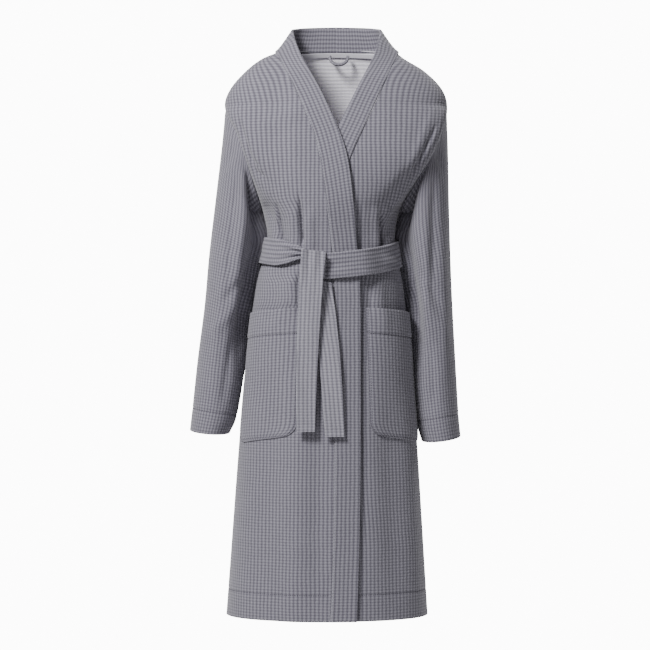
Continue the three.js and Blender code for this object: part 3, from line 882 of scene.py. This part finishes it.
@dataclass
class Sleeve:
    """A sleeve from its armhole to its turned-up cuff."""

    form: Form
    side: Side
    rings: tuple[SleeveRing, ...]
    folds: tuple[Fold, ...]
    looks: Looks
    around: int = 112
    row_step: float = 6.0
    tuck: float = 0.6

    def armhole(self, turn: Array) -> Array:
        """Returns the armhole's points."""
        z = ARMHOLE_Z + np.cos(turn) * ARMHOLE_REACH
        x = self.form.curves["centre"](z) + self.side.value * (self.form.curves["half"](z) + self.tuck)
        y = -np.sign(np.sin(turn)) * self.form.armhole_edge(z)
        return np.stack([x, y, z], axis=-1)

    def hanging(self, ring: SleeveRing, turn: Array) -> Array:
        """Returns a ring's points."""
        share = (1 + np.cos(turn)) / 2
        x = ring.inner[0] + (ring.outer[0] - ring.inner[0]) * share
        z = ring.inner[1] + (ring.outer[1] - ring.inner[1]) * share
        if ring is self.rings[-1]:
            z = z - 6.0 * np.abs(np.sin(turn)) ** 0.7
        return np.stack([x, ring.y - np.sin(turn) * ring.depth, z], axis=-1)

    def build(self) -> bpy.types.Object:
        """Builds the sleeve, whose cuff is turned up inside."""
        turn = np.linspace(0, 2 * math.pi, self.around, endpoint=False)
        stations = np.stack([self.armhole(turn), *(self.hanging(ring, turn) for ring in self.rings)])
        cuff = len(self.rings) - 1.0
        last = float(len(self.rings))
        groove = cuff + np.array([-0.08, -0.04, 0.0, 0.04, 0.08])
        at = np.unique(np.concatenate([np.linspace(0, cuff, 100), np.linspace(cuff, last, 9), groove]))
        turned = np.linspace(last - 0.04, cuff + 0.02, 7)
        points = rows_through(stations, np.concatenate([at, turned]))
        if self.side is Side.RIGHT:
            normal = -grid_normals(points, ring=True)
        else:
            normal = grid_normals(points, ring=True)
        count = len(at)
        normal[count:] = -normal[count:] if np.sum(normal[count] * normal[count - 3]) < 0 else normal[count:]
        front = points[..., 1] < points[..., 1].mean(axis=1, keepdims=True)
        lift = sum(
            np.where(
                front if fold.face is Face.FRONT else ~front,
                fold.lift(points[..., 0], points[..., 2]),
                0.0,
            )
            for fold in self.folds
        )
        soft = np.clip(np.abs(np.sin(turn)) * 1.8, 0, 1)[None]
        level = np.concatenate([at, turned])[:, None]
        pucker = 0.9 * np.cos(turn * 22)[None] * np.exp(-level * 3.2) * smoothstep(0.02, 0.2, level)
        seam = -1.7 * np.exp(-((level / 0.06) ** 2)) - 0.9 * np.exp(-(((level - cuff) / 0.035) ** 2))
        inward = smoothstep(0.5, 0.9, (1 - np.cos(turn)) / 2)[None] * soft
        low = smoothstep(0.3, 0.8, (1 - np.cos(turn)) / 2)[None]
        tucked = -7.0 * np.exp(-(((level - 0.42) / 0.3) ** 2)) * low * front
        recess = -24.0 * inward * smoothstep(0.1, 0.6, level) * (1 - smoothstep(3.8, 5.4, level))
        offset = lift * soft * smoothstep(0.1, 0.8, level) + pucker + seam + tucked * soft + recess * front
        offset[count:] = -2.6 - CLOTH * 0.1
        points = points + normal * offset[..., None]
        allowance = points[0] - normal[0] * 2.0 - np.array([self.side.value * 7.0, 0.0, 0.0])
        points = np.concatenate([allowance[None], points])
        count += 1
        at = np.concatenate([[at[0] - 0.1], at])
        normal = np.concatenate([normal[:1], normal])
        lengths = np.cumsum(np.r_[0, np.linalg.norm(np.diff(points[:count, 0], axis=0), axis=-1)])
        lengths = np.concatenate([lengths, lengths[-1] + (lengths[-1] - np.interp(turned, at, lengths))])
        ring_length = row_lengths(np.concatenate([points, points[:, :1]], axis=1))
        wide = ring_length[40, -1] / ring_length[:, -1:]
        weave = np.stack([ring_length * wide, np.broadcast_to(-lengths[:, None], ring_length.shape)], axis=-1)
        name = f"sleeve_{self.side.name.lower()}"
        row = int(np.argmin(np.abs(at - cuff)))
        out = np.concatenate([normal[row], normal[row, :1]])
        line = np.concatenate([points[row], points[row, :1]]) + out * 0.2
        Stitches().build(f"{name}_cuff_stitches", line, out, self.looks.dark_thread_painted_shade, name)
        if self.side is Side.RIGHT:
            points, weave = points[::-1], weave[::-1]
        piece = grid_piece(f"{name}_cloth", points, weave, [self.looks.cloth, self.looks.inside], ring=True)
        thicken(piece)
        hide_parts(name)
        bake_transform(piece)
        return piece


def make_sleeves(form: Form, looks: Looks) -> None:
    """Builds both sleeves with their own hang and folds."""
    right = (
        SleeveRing((-231, -190), (-145, -328), 64, 2),
        SleeveRing((-243, -290), (-134, -370), 67, 5),
        SleeveRing((-256, -400), (-147, -430), 68, 6),
        SleeveRing((-265, -500), (-170, -530), 66, 6),
        SleeveRing((-279, -610), (-184, -625), 62, 5),
        SleeveRing((-289, -704), (-200, -718), 60, 4),
        SleeveRing((-294, -746), (-214, -752), 58, 4),
    )
    left = (
        SleeveRing((220, -190), (117, -328), 64, 2),
        SleeveRing((222, -290), (106, -370), 67, 5),
        SleeveRing((225, -400), (117, -430), 68, 6),
        SleeveRing((229, -500), (132, -530), 66, 6),
        SleeveRing((235, -612), (145, -628), 62, 5),
        SleeveRing((241, -716), (157, -730), 60, 4),
        SleeveRing((245, -758), (167, -768), 58, 4),
    )
    right_folds = (
        Fold((-196, -230), (-222, -470), 9, -4.0),
        Fold((-184, -300), (-200, -560), 10, 3.5),
        Fold((-212, -330), (-246, -640), 11, 3.5),
        Fold((-168, -430), (-232, -500), 10, -3.5),
        Fold((-180, -480), (-250, -560), 12, 3.0),
        Fold((-206, -560), (-228, -700), 9, -3.5),
        Fold((-190, -150), (-226, -240), 9, -2.5),
        Fold((-180, -380), (-240, -420), 10, -3.0, Face.BACK),
        Fold((-200, -240), (-240, -640), 12, 4.0, Face.BACK),
    )
    left_folds = (
        Fold((190, -230), (188, -480), 9, -4.0),
        Fold((170, -300), (176, -560), 10, 3.5),
        Fold((206, -330), (212, -640), 11, 3.5),
        Fold((152, -420), (206, -500), 10, -3.5),
        Fold((158, -470), (214, -560), 12, 3.0),
        Fold((182, -560), (190, -710), 9, -3.5),
        Fold((184, -160), (212, -250), 9, -2.5),
        Fold((160, -380), (216, -430), 10, -3.0, Face.BACK),
        Fold((180, -240), (206, -640), 12, 4.0, Face.BACK),
    )
    Sleeve(form, Side.RIGHT, right, right_folds, looks).build()
    Sleeve(form, Side.LEFT, left, left_folds, looks).build()


@dataclass
class NeckBands:
    """The two bands down the fronts, which meet at the centre back."""

    bands: BandLines
    looks: Looks

    def build(self) -> None:
        """Builds both bands."""
        for side in (Side.LEFT, Side.RIGHT):
            seam, edge = self.bands.lines(side)
            tangent = np.gradient(seam + edge, axis=0)
            out = side.value * -1 * np.cross(edge - seam, tangent)
            out /= np.linalg.norm(out, axis=1, keepdims=True)
            name = f"neck_band_{side.name.lower()}"
            piece = StripShape(FOLDED, 11).build(f"{name}_cloth", seam, edge, out, None, self.looks.cloth)
            ride_as(piece, "garment", "robe_cloth", name)
            across = (edge - seam) / np.linalg.norm(edge - seam, axis=1, keepdims=True)
            line = seam + across * 3.6 + out * (FOLDED + 0.1)
            Stitches().build(f"{name}_stitches", line, out, self.looks.thread)


@dataclass
class Pocket:
    """A patch pocket with a hemmed top and rounded lower corners."""

    bands: BandLines
    side: Side
    inner_x: float
    looks: Looks
    width: float = 152.0
    height: float = 252.0
    top_z: float = -511.0
    hem: float = 50.0
    corner: float = 32.0
    ease: float = 7.0
    droop: float = 12.0

    def __post_init__(self) -> None:
        """Finds the pocket's turns round the form."""
        form = self.bands.form
        middle = np.array([self.top_z - self.height / 2])
        inner = float(form.turn_at(np.array([self.inner_x]), middle)[0])
        turns = inner + self.side.value * np.linspace(0, 2.5, 500)
        arc = line_lengths(form.plain(turns, middle, Face.FRONT))
        outer = float(np.interp(self.width, arc, turns))
        self.low, self.high = min(inner, outer), max(inner, outer)

    def place(self, s: Array, t: Array, over: float = 0.0) -> tuple[Array, Array]:
        """Returns points on the pocket's outer face and the outward directions there.

        Args:
            s: The shares of its width.
            t: The shares of its height, from the bottom.
            over: A further height over the cloth.
        """
        bottom = self.top_z - self.height
        z = bottom + self.height * t
        near = np.clip(1 - (z - bottom) / self.corner, 0, 1)
        cut = (1 - np.sqrt(1 - near**2)) * self.corner / self.width
        turn = self.low + (self.high - self.low) * (cut + (1 - 2 * cut) * s)
        outwards = s if self.side is Side.LEFT else 1 - s
        z = z + self.droop * (0.45 - outwards)
        x = self.bands.form.plain(turn, z, Face.FRONT)[..., 0]
        shift = self.bands.lap(x, z) if self.side is Side.RIGHT else 0.0
        stitch = 1 - self.hem / self.height
        gape = self.ease * np.sin(math.pi * np.clip(s, 0, 1)) ** 0.8 * smoothstep(0.35, 1.0, t)
        groove = -0.8 * np.exp(-(((t - stitch) / 0.006) ** 2))
        rim = np.minimum(np.minimum(s, 1 - s) * self.width, t * self.height)
        pressed = 1.2 * smoothstep(0, 9, rim) - 0.8 * np.exp(-(((rim - 4.5) / 1.6) ** 2))
        hem = 1.1 * smoothstep(stitch, stitch + 0.01, t)
        stand = 2 * CLOTH + 0.2 + gape + groove + pressed + hem + over
        points = self.bands.form.surface(turn, z, Face.FRONT, stand, shift)
        return points, self.bands.form.normal(turn, z, Face.FRONT)

    def build(self) -> None:
        """Builds the pocket on its front, with its stitching."""
        stitch = 1 - self.hem / self.height
        near_stitch = stitch + np.linspace(-0.01, 0.01, 5)
        t = np.unique(np.r_[np.linspace(0, 0.14, 14), np.linspace(0.14, 1, 44), near_stitch])
        s = np.unique(np.r_[np.linspace(0, 0.06, 6), np.linspace(0.06, 0.94, 32), np.linspace(0.94, 1, 6)])
        s, t = np.meshgrid(s, t)
        points, _ = self.place(s, t)
        weave = np.stack([s * self.width + 3.0, t * self.height], axis=-1)
        name = f"pocket_{self.side.name.lower()}"
        piece = grid_piece(f"{name}_cloth", points, weave, [self.looks.cloth, self.looks.inside])
        thicken(piece)
        ride_as(piece, "garment", "robe_cloth", name)
        down = np.linspace(1.0, 0.018, 90)
        over = np.linspace(0.03, 0.97, 60)
        edge_s = np.r_[np.full(90, 0.03), over, np.full(90, 0.97)]
        edge_t = np.r_[down, np.full(60, 0.018), down[::-1]]
        # The near-black stitches draw the painted shade lines along the pocket's edges.
        line, out = self.place(edge_s, edge_t, 0.25)
        Stitches().build(f"{name}_edge_stitches", line, out, self.looks.dark_thread_painted_shade)
        line, out = self.place(np.linspace(0.03, 0.97, 80), np.full(80, stitch), 0.25)
        Stitches().build(f"{name}_hem_stitches", line, out, self.looks.dark_thread_painted_shade)


@dataclass
class Belt:
    """The belt round the waist with its knot and its two hanging tails."""

    bands: BandLines
    looks: Looks
    knot: tuple[float, float] = (-47.0, -421.0)
    knot_size: tuple[float, float, float] = (46.0, 58.0, 17.0)
    base: float = 13.6
    slant: float = 7.0  # of a tail's top

    def layers_under(self, x: Array, z: Array) -> Array:
        """Returns how high the layers under the belt stand on the front."""
        seam = self.bands.right_seam(z)
        on_band = smoothstep(-26, -6, x - seam)
        top = self.bands.lap(x, z) + CLOTH + (FOLDED - CLOTH) * on_band
        past = smoothstep(BELT_WIDTH + 2, BELT_WIDTH + 44, x - seam)
        return top + (CLOTH - top) * past + 1.2

    def round_form(self, turn: Array, z: Array) -> Array:
        """Returns points round the whole form, where turns past pi go on round the back."""
        front = self.bands.form.plain(turn, z, Face.FRONT)
        back = self.bands.form.plain(2 * math.pi - turn, z, Face.BACK)
        past = (turn > math.pi) & (turn < 2 * math.pi)
        beyond = self.bands.form.plain(turn - 2 * math.pi, z, Face.FRONT)
        plain = np.where(past[..., None], back, front)
        return np.where((turn >= 2 * math.pi)[..., None], beyond, plain)

    def wrap(self) -> bpy.types.Object:
        """Builds the belt round the waist, from the knot's one side to its other."""
        form = self.bands.form
        kx, kz = self.knot
        half = self.knot_size[0] / 2
        ends = (half - 20, 6 - half)
        start, end = (float(form.turn_at(np.array([kx + side]), np.array([kz]))[0]) for side in ends)
        last = 2 * math.pi + end
        turn = np.linspace(start, last, 260)
        centre = smooth_curve(
            [
                (start, kz - 7),
                (start + 0.8, kz + 7),
                (math.pi, -397.5),
                (2 * math.pi, -390.5),
                (last - 0.42, -398.0),
                (last, kz + 21),
            ]
        )(turn)
        width = smooth_curve(
            [
                (start, 50),
                (start + 0.3, 51),
                (last - 0.55, 51),
                (last - 0.3, 45),
                (last - 0.15, 33),
                (last, 19),
            ]
        )(turn)
        edges = []
        for sign in (-0.5, 0.5):
            z = centre + sign * width
            place = self.round_form(turn, z)
            ahead = self.round_form(turn + 0.01, z) - self.round_form(turn - 0.01, z)
            way = np.stack([ahead[:, 1], -ahead[:, 0], np.zeros_like(turn)], axis=-1)
            way /= np.linalg.norm(way, axis=1, keepdims=True)
            in_front = (turn < math.pi) | (turn > 2 * math.pi)
            under = np.where(in_front, self.layers_under(place[:, 0], z), CLOTH + 1.2)
            edges.append(place + way * (under + 0.4)[:, None])
        across = np.linspace(0, 1, 17)[None]
        near_end = smoothstep(last - 0.6, last - 0.1, turn)[:, None]
        near_start = (1 - smoothstep(start, start + 0.5, turn))[:, None]
        creases = np.sin(across * math.pi * 5 + 1.0) * 2.8 * near_end
        creases = creases + np.sin(across * math.pi * 3 + 0.6) * 1.8 * near_start
        waves = 0.8 * np.sin(across * 9 + turn[:, None] * 7) * np.sin(turn[:, None] * 3.1) ** 2
        stitch = -0.7 * np.exp(-(((across - 0.12) / 0.04) ** 2))
        stitch = stitch - 0.7 * np.exp(-(((across - 0.88) / 0.04) ** 2))
        relief = creases + waves + stitch + 1.2
        shape = StripShape(FOLDED - 1.0, 17)
        piece = shape.build("belt_wrap_cloth", edges[0], edges[1], way, relief, self.looks.cloth)
        ride_as(piece, "garment", "belt_cloth", "belt_wrap")
        return piece

    def tie(self) -> None:
        """Builds the knot, a roll of the belt's cloth with creases down it."""
        kx, kz = self.knot
        wide, tall, deep = self.knot_size
        across = np.linspace(-1, 1, 41)[:, None]
        turn = np.linspace(0, 2 * math.pi, 72, endpoint=False)[None]
        shape = (1 - np.abs(across) ** 5) ** 0.3 * 0.45 + 0.55
        x = kx + across * wide / 2 * (1 + 0.06 * np.cos(turn))
        half_z = tall / 2 * (0.96 - 0.10 * (1 - across**2)) * (0.82 + 0.18 * shape)
        z = kz + np.sign(np.cos(turn)) * np.abs(np.cos(turn)) ** 0.62 * half_z - across * 2.0
        out = np.sign(np.sin(turn)) * np.abs(np.sin(turn)) ** 0.7 * (deep / 2) * shape
        slant = across * 3.1 + (z - kz) / 30.0
        waves = 1.5 * np.cos(slant * 2.4) - 1.4 * np.exp(-((slant - 0.7) / 0.16) ** 2)
        crease = np.clip(np.sin(turn), 0, 1) * waves
        crease = crease - 1.6 * np.clip(np.sin(turn), 0, 1) * np.exp(-((slant + 1.1) / 0.14) ** 2)
        form = self.bands.form
        shape_z = np.clip(z, kz - tall / 2, kz + tall / 2)
        turn_at = form.turn_at(x, shape_z)
        surface = form.plain(turn_at, shape_z, Face.FRONT)[..., 1]
        y = surface - self.base - deep / 2 + 2.5 - (out + crease)
        points = np.stack(np.broadcast_arrays(x, y, z), axis=-1)[::-1]
        lengths = row_lengths(np.concatenate([points, points[:, :1]], axis=1))
        weave = np.stack([np.broadcast_to(across * 24, lengths.shape), lengths], axis=-1)
        piece = grid_piece("belt_knot_cloth", points, weave, [self.looks.cloth], ring=True)
        StripShape.close_ends(piece, len(points), points.shape[1])
        smooth_faces(piece)
        ride_as(piece, "garment", "belt_cloth", "belt_knot")

    def tail(
        self,
        name: str,
        top: tuple[float, float],
        bottom: tuple[float, float],
        ends: tuple[float, float],
        stands: tuple[float, float],
        sway: float,
    ) -> None:
        """Builds a tail.

        Args:
            name: The tail's body and node.
            top: Its edges' x at its top.
            bottom: Its edges' x at its end.
            ends: The heights of its top and its end.
            stands: How far it stands off the form at its top and low down.
            sway: How much it curves to the side on its way down.
        """
        t = np.linspace(0, 1, 90)
        z = ends[1] + (ends[0] - ends[1]) * t
        form = self.bands.form
        lines = []
        for side in (0, 1):
            x = bottom[side] + (top[side] - bottom[side]) * t + sway * np.sin(math.pi * t)
            turn = form.turn_at(x, z)
            y = form.plain(turn, z, Face.FRONT)[..., 1]
            drop = side * self.slant * smoothstep(0.8, 1.0, t)
            lines.append(np.stack([x, y, z - drop], axis=-1))
        y = np.minimum(lines[0][:, 1], lines[1][:, 1])
        y = y - (stands[1] + (stands[0] - stands[1]) * smoothstep(0.3, 0.8, t))
        curl = 1.6 * np.sin(t * 7.0 + sway)
        for line, sign in zip(lines, (1, -1)):
            line[:, 1] = y + sign * curl
        out = np.tile([0.0, -1.0, 0.0], (len(t), 1))
        across = np.linspace(0, 1, 17)[None]
        gathered = smoothstep(0.72, 1.0, t)[:, None]
        relief = 1.8 * np.sin(across * math.pi * 4 + 0.8) * gathered
        relief = relief + 0.7 * np.sin(across * 5 + t[:, None] * 9)
        relief = relief - 0.7 * np.exp(-(((across - 0.1) / 0.04) ** 2))
        relief = relief - 0.7 * np.exp(-(((across - 0.9) / 0.04) ** 2))
        relief = relief - 0.9 * np.exp(-(((t[:, None] - 0.035) / 0.006) ** 2)) + 1.0
        shape = StripShape(FOLDED - 1.2, 17)
        # The tails wear the lighter copy of the cloth, painted light.
        piece = shape.build(f"{name}_cloth", lines[0], lines[1], out, relief, self.looks.belt_ends_painted_light)
        ride_as(piece, name, "belt_cloth", name)

    def build(self) -> None:
        """Builds the belt's pieces."""
        self.wrap()
        self.tie()
        self.tail("belt_tail_rear", (-58, -12), (-25, 13), (-450, -755), (14.9, 14.9), 4.0)
        self.tail("belt_tail_front", (-71, -23), (-81, -44), (-392, -745), (30.0, 21.0), -3.0)


@dataclass
class Trims:
    """The belt carriers, the tape over the back neck's seam and the hanger loop."""

    form: Form
    looks: Looks

    def carrier(self, side: Side) -> None:
        """Builds a belt carrier, which arches over the belt at a side seam."""
        t = np.linspace(0, 1, 60)
        z = -468 + 116 * t
        share = np.minimum(np.minimum((-352 - z) / 17, (z + 468) / 14), 1)
        stand = 2.4 + (10.4 - 2.4) * np.sin(math.pi / 2 * np.clip(share, 0, 1))
        x = self.form.curves["centre"](z) + side.value * (self.form.curves["half"](z) + stand)
        lines = [np.stack([x, np.full_like(z, 14.0 + off), z], axis=-1) for off in (-5.0, 5.0)]
        tangent = np.gradient(lines[0], axis=0)
        out = np.stack([tangent[:, 2], np.zeros_like(z), -tangent[:, 0]], axis=-1) * side.value
        out /= np.linalg.norm(out, axis=1, keepdims=True)
        name = f"belt_carrier_{side.name.lower()}"
        piece = StripShape(1.8, 5).build(f"{name}_cloth", lines[0], lines[1], out, None, self.looks.cloth)
        ride_as(piece, "garment", "robe_cloth", name)

    def tape(self) -> None:
        """Builds the tape inside the back neck."""
        x = np.linspace(-96, 96, 60) + NECK_X
        rise = 9.0 * (1 - (np.abs(x - NECK_X) / 119.0) ** 2)
        lines = []
        for z in (-9.5, -0.5):
            height = np.full_like(x, z)
            turn = self.form.turn_at(x, height)
            line = self.form.surface(turn, height, Face.BACK, np.full_like(x, -0.3))
            line[:, 2] += rise
            lines.append(line)
        turn = self.form.turn_at(x, np.full_like(x, -7.0))
        out = -self.form.normal(turn, np.full_like(x, -7.0), Face.BACK)
        piece = StripShape(1.2, 5).build("neck_tape_cloth", lines[0], lines[1], out, None, self.looks.tape)
        ride_as(piece, "garment", "neck_tape", "neck_tape")

    def loop(self) -> None:
        """Builds the hanger loop, a sewn cord of the robe's cloth."""
        down = np.array([0.0, -math.sin(0.5), -math.cos(0.5)])
        sideways = np.array([1.0, 0.0, 0.0])
        middle = np.array([3.0, 56.4, 1.0])
        stops = [(-0.5, 0), (-0.45, 0.5), (-0.24, 0.9), (0, 1), (0.24, 0.9), (0.45, 0.5), (0.5, 0)]
        stations = np.array([middle + sideways * x * 36 + down * drop * 20 for x, drop in stops])
        line = rows_through(stations, np.linspace(0, len(stops) - 1, 60))
        tangent = np.gradient(line, axis=0)
        tangent /= np.linalg.norm(tangent, axis=1, keepdims=True)
        axis = np.cross(sideways, down)
        inward = np.cross(np.broadcast_to(axis, tangent.shape), tangent)
        turn = np.linspace(0, 2 * math.pi, 16, endpoint=False)
        ring = (np.cos(turn)[None, :, None] * inward[:, None] + np.sin(turn)[None, :, None] * axis) * 3.1
        points = line[:, None] + ring
        lengths = line_lengths(line)
        place = np.linspace(0, 19.5, 17)
        weave = np.stack(np.broadcast_arrays(place[None], lengths[:, None]), axis=-1)
        out = grid_normals(points, ring=True)
        if np.sum(out * ring) < 0:
            points, weave = points[::-1], weave[::-1]
        piece = grid_piece("hanger_loop_cloth", points, weave, [self.looks.cloth], ring=True)
        StripShape.close_ends(piece, len(points), points.shape[1])
        smooth_faces(piece)
        ride_as(piece, "hanger_loop", "belt_cloth", "hanger_loop")

    def build(self) -> None:
        """Builds all the trims."""
        for side in Side:
            self.carrier(side)
        self.tape()
        self.loop()


@dataclass(frozen=True)
class Stitches:
    """A line of machine stitches, each a small raised bar of thread."""

    length: float = 3.2
    gap: float = 1.3
    width: float = 0.9
    height: float = 0.5

    def build(
        self,
        name: str,
        line: Array,
        out: Array,
        material: bpy.types.Material,
        body: str = "garment",
    ) -> bpy.types.Object:
        """Builds a row of stitches as one mesh.

        Args:
            name: The piece's name.
            line: The line that it follows, on the cloth's surface.
            out: The cloth's outward directions along it.
            material: The thread.
            body: The body that it rides on.

        Returns:
            The new object.
        """
        lengths = line_lengths(line)
        pitch = self.length + self.gap
        starts = np.arange(0.5 * pitch, lengths[-1] - pitch, pitch)
        corners = []
        foot = ((0, -1, -1), (0, 1, -1), (1, 1, -1), (1, -1, -1))
        crown = ((0.2, -0.6, 1), (0.2, 0.6, 1), (0.8, 0.6, 1), (0.8, -0.6, 1))
        for along, side, up in foot + crown:
            at = starts + along * self.length
            place = np.stack([np.interp(at, lengths, line[:, k]) for k in range(3)], axis=-1)
            lift = np.stack([np.interp(at, lengths, out[:, k]) for k in range(3)], axis=-1)
            slopes = np.gradient(line, axis=0).T
            tangent = np.stack([np.interp(at, lengths, column) for column in slopes], axis=-1)
            sideways = np.cross(lift, tangent)
            sideways /= np.linalg.norm(sideways, axis=1, keepdims=True)
            corners.append(place + sideways * side * self.width / 2 + lift * (self.height * max(up, -0.4)))
        points = np.stack(corners, axis=1).reshape(-1, 3) * MM
        box = np.array([(0, 1, 2, 3), (4, 7, 6, 5), (0, 4, 5, 1), (1, 5, 6, 2), (2, 6, 7, 3), (3, 7, 4, 0)])
        faces = (np.arange(len(starts))[:, None, None] * 8 + box[None]).reshape(-1, 4)
        mesh = bpy.data.meshes.new(name)
        mesh.from_pydata(points.tolist(), [], faces.tolist())
        mesh.materials.append(material)
        piece = bpy.data.objects.new(name, mesh)
        bpy.context.scene.collection.objects.link(piece)
        bpy.ops.object.select_all(action="DESELECT")
        piece.select_set(True)
        bpy.context.view_layer.objects.active = piece
        bpy.ops.object.mode_set(mode="EDIT")
        bpy.ops.mesh.select_all(action="SELECT")
        bpy.ops.mesh.normals_make_consistent(inside=False)
        bpy.ops.object.mode_set(mode="OBJECT")
        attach(piece, body)
        return piece


@dataclass
class Studio:
    """The floor, the lights, the world and the camera."""

    key_power: float = 170.0
    fill_power: float = 10.0
    back_power: float = 44.0
    ambient: float = 0.14

    def build(self) -> None:
        """Builds the studio and sets the scene's camera."""
        bpy.ops.object.select_all(action="DESELECT")
        bpy.ops.mesh.primitive_plane_add(size=4.6, location=(0, 0, -1.6))
        floor = bpy.context.active_object
        floor.name = "floor"
        floor.data.materials.append(PlainFinish("floor_paint", (0.82, 0.82, 0.82), 0.7).material())
        self._light("key_light", (-1.5, -2.0, 1.7), 0.9, self.key_power)
        self._light("fill_light", (2.6, -3.0, 0.2), 2.2, self.fill_power)
        self._light("back_light_left", (-1.9, 2.6, 1.2), 1.8, self.back_power)
        self._light("back_light_right", (2.2, 2.2, 1.0), 1.8, self.back_power)
        self._world()
        camera = bpy.data.objects.new("camera", bpy.data.cameras.new("camera"))
        camera.location = (-0.025, -4.9, -0.5393)
        camera.rotation_euler = (math.radians(90), 0, 0)
        camera.data.lens = 136.4
        camera.data.sensor_width = 36
        camera.data.clip_end = 60
        bpy.context.scene.collection.objects.link(camera)
        bpy.context.scene.camera = camera

    @staticmethod
    def _light(name: str, place: tuple[float, float, float], size: float, power: float) -> None:
        """Adds an area light that looks at the robe's middle."""
        data = bpy.data.lights.new(name, "AREA")
        data.size = size
        data.energy = power
        light = bpy.data.objects.new(name, data)
        light.location = place
        light.rotation_euler = (Vector((0, 0, -0.5)) - Vector(place)).to_track_quat("-Z", "Y").to_euler()
        bpy.context.scene.collection.objects.link(light)

    def _world(self) -> None:
        """Makes the world a white backdrop that lights the robe more dimly than it looks."""
        world = bpy.data.worlds.new("studio_world")
        bpy.context.scene.world = world
        world.use_nodes = True
        nodes, links = world.node_tree.nodes, world.node_tree.links
        dim = nodes["Background"]
        dim.inputs["Color"].default_value = (1, 1, 1, 1)
        dim.inputs["Strength"].default_value = self.ambient
        bright = nodes.new("ShaderNodeBackground")
        bright.inputs["Color"].default_value = (1, 1, 1, 1)
        bright.inputs["Strength"].default_value = 12.0
        mix = nodes.new("ShaderNodeMixShader")
        rays = nodes.new("ShaderNodeLightPath")
        links.new(rays.outputs["Is Camera Ray"], mix.inputs[0])
        links.new(dim.outputs[0], mix.inputs[1])
        links.new(bright.outputs[0], mix.inputs[2])
        links.new(mix.outputs[0], nodes["World Output"].inputs[0])


def main() -> None:
    """Builds the robe from the frame out."""
    logging.basicConfig(level=logging.INFO, format="%(message)s")
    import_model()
    bpy.ops.object.select_all(action="DESELECT")
    form = worn_form()
    bands = BandLines(form)
    looks = make_looks()
    BodyPanels(form, bands, looks).build()
    NeckBands(bands, looks).build()
    make_sleeves(form, looks)
    Pocket(bands, Side.RIGHT, -74, looks).build()
    Pocket(bands, Side.LEFT, 58, looks).build()
    Belt(bands, looks).build()
    Trims(form, looks).build()
    Studio().build()


if __name__ == "__main__":
    main()
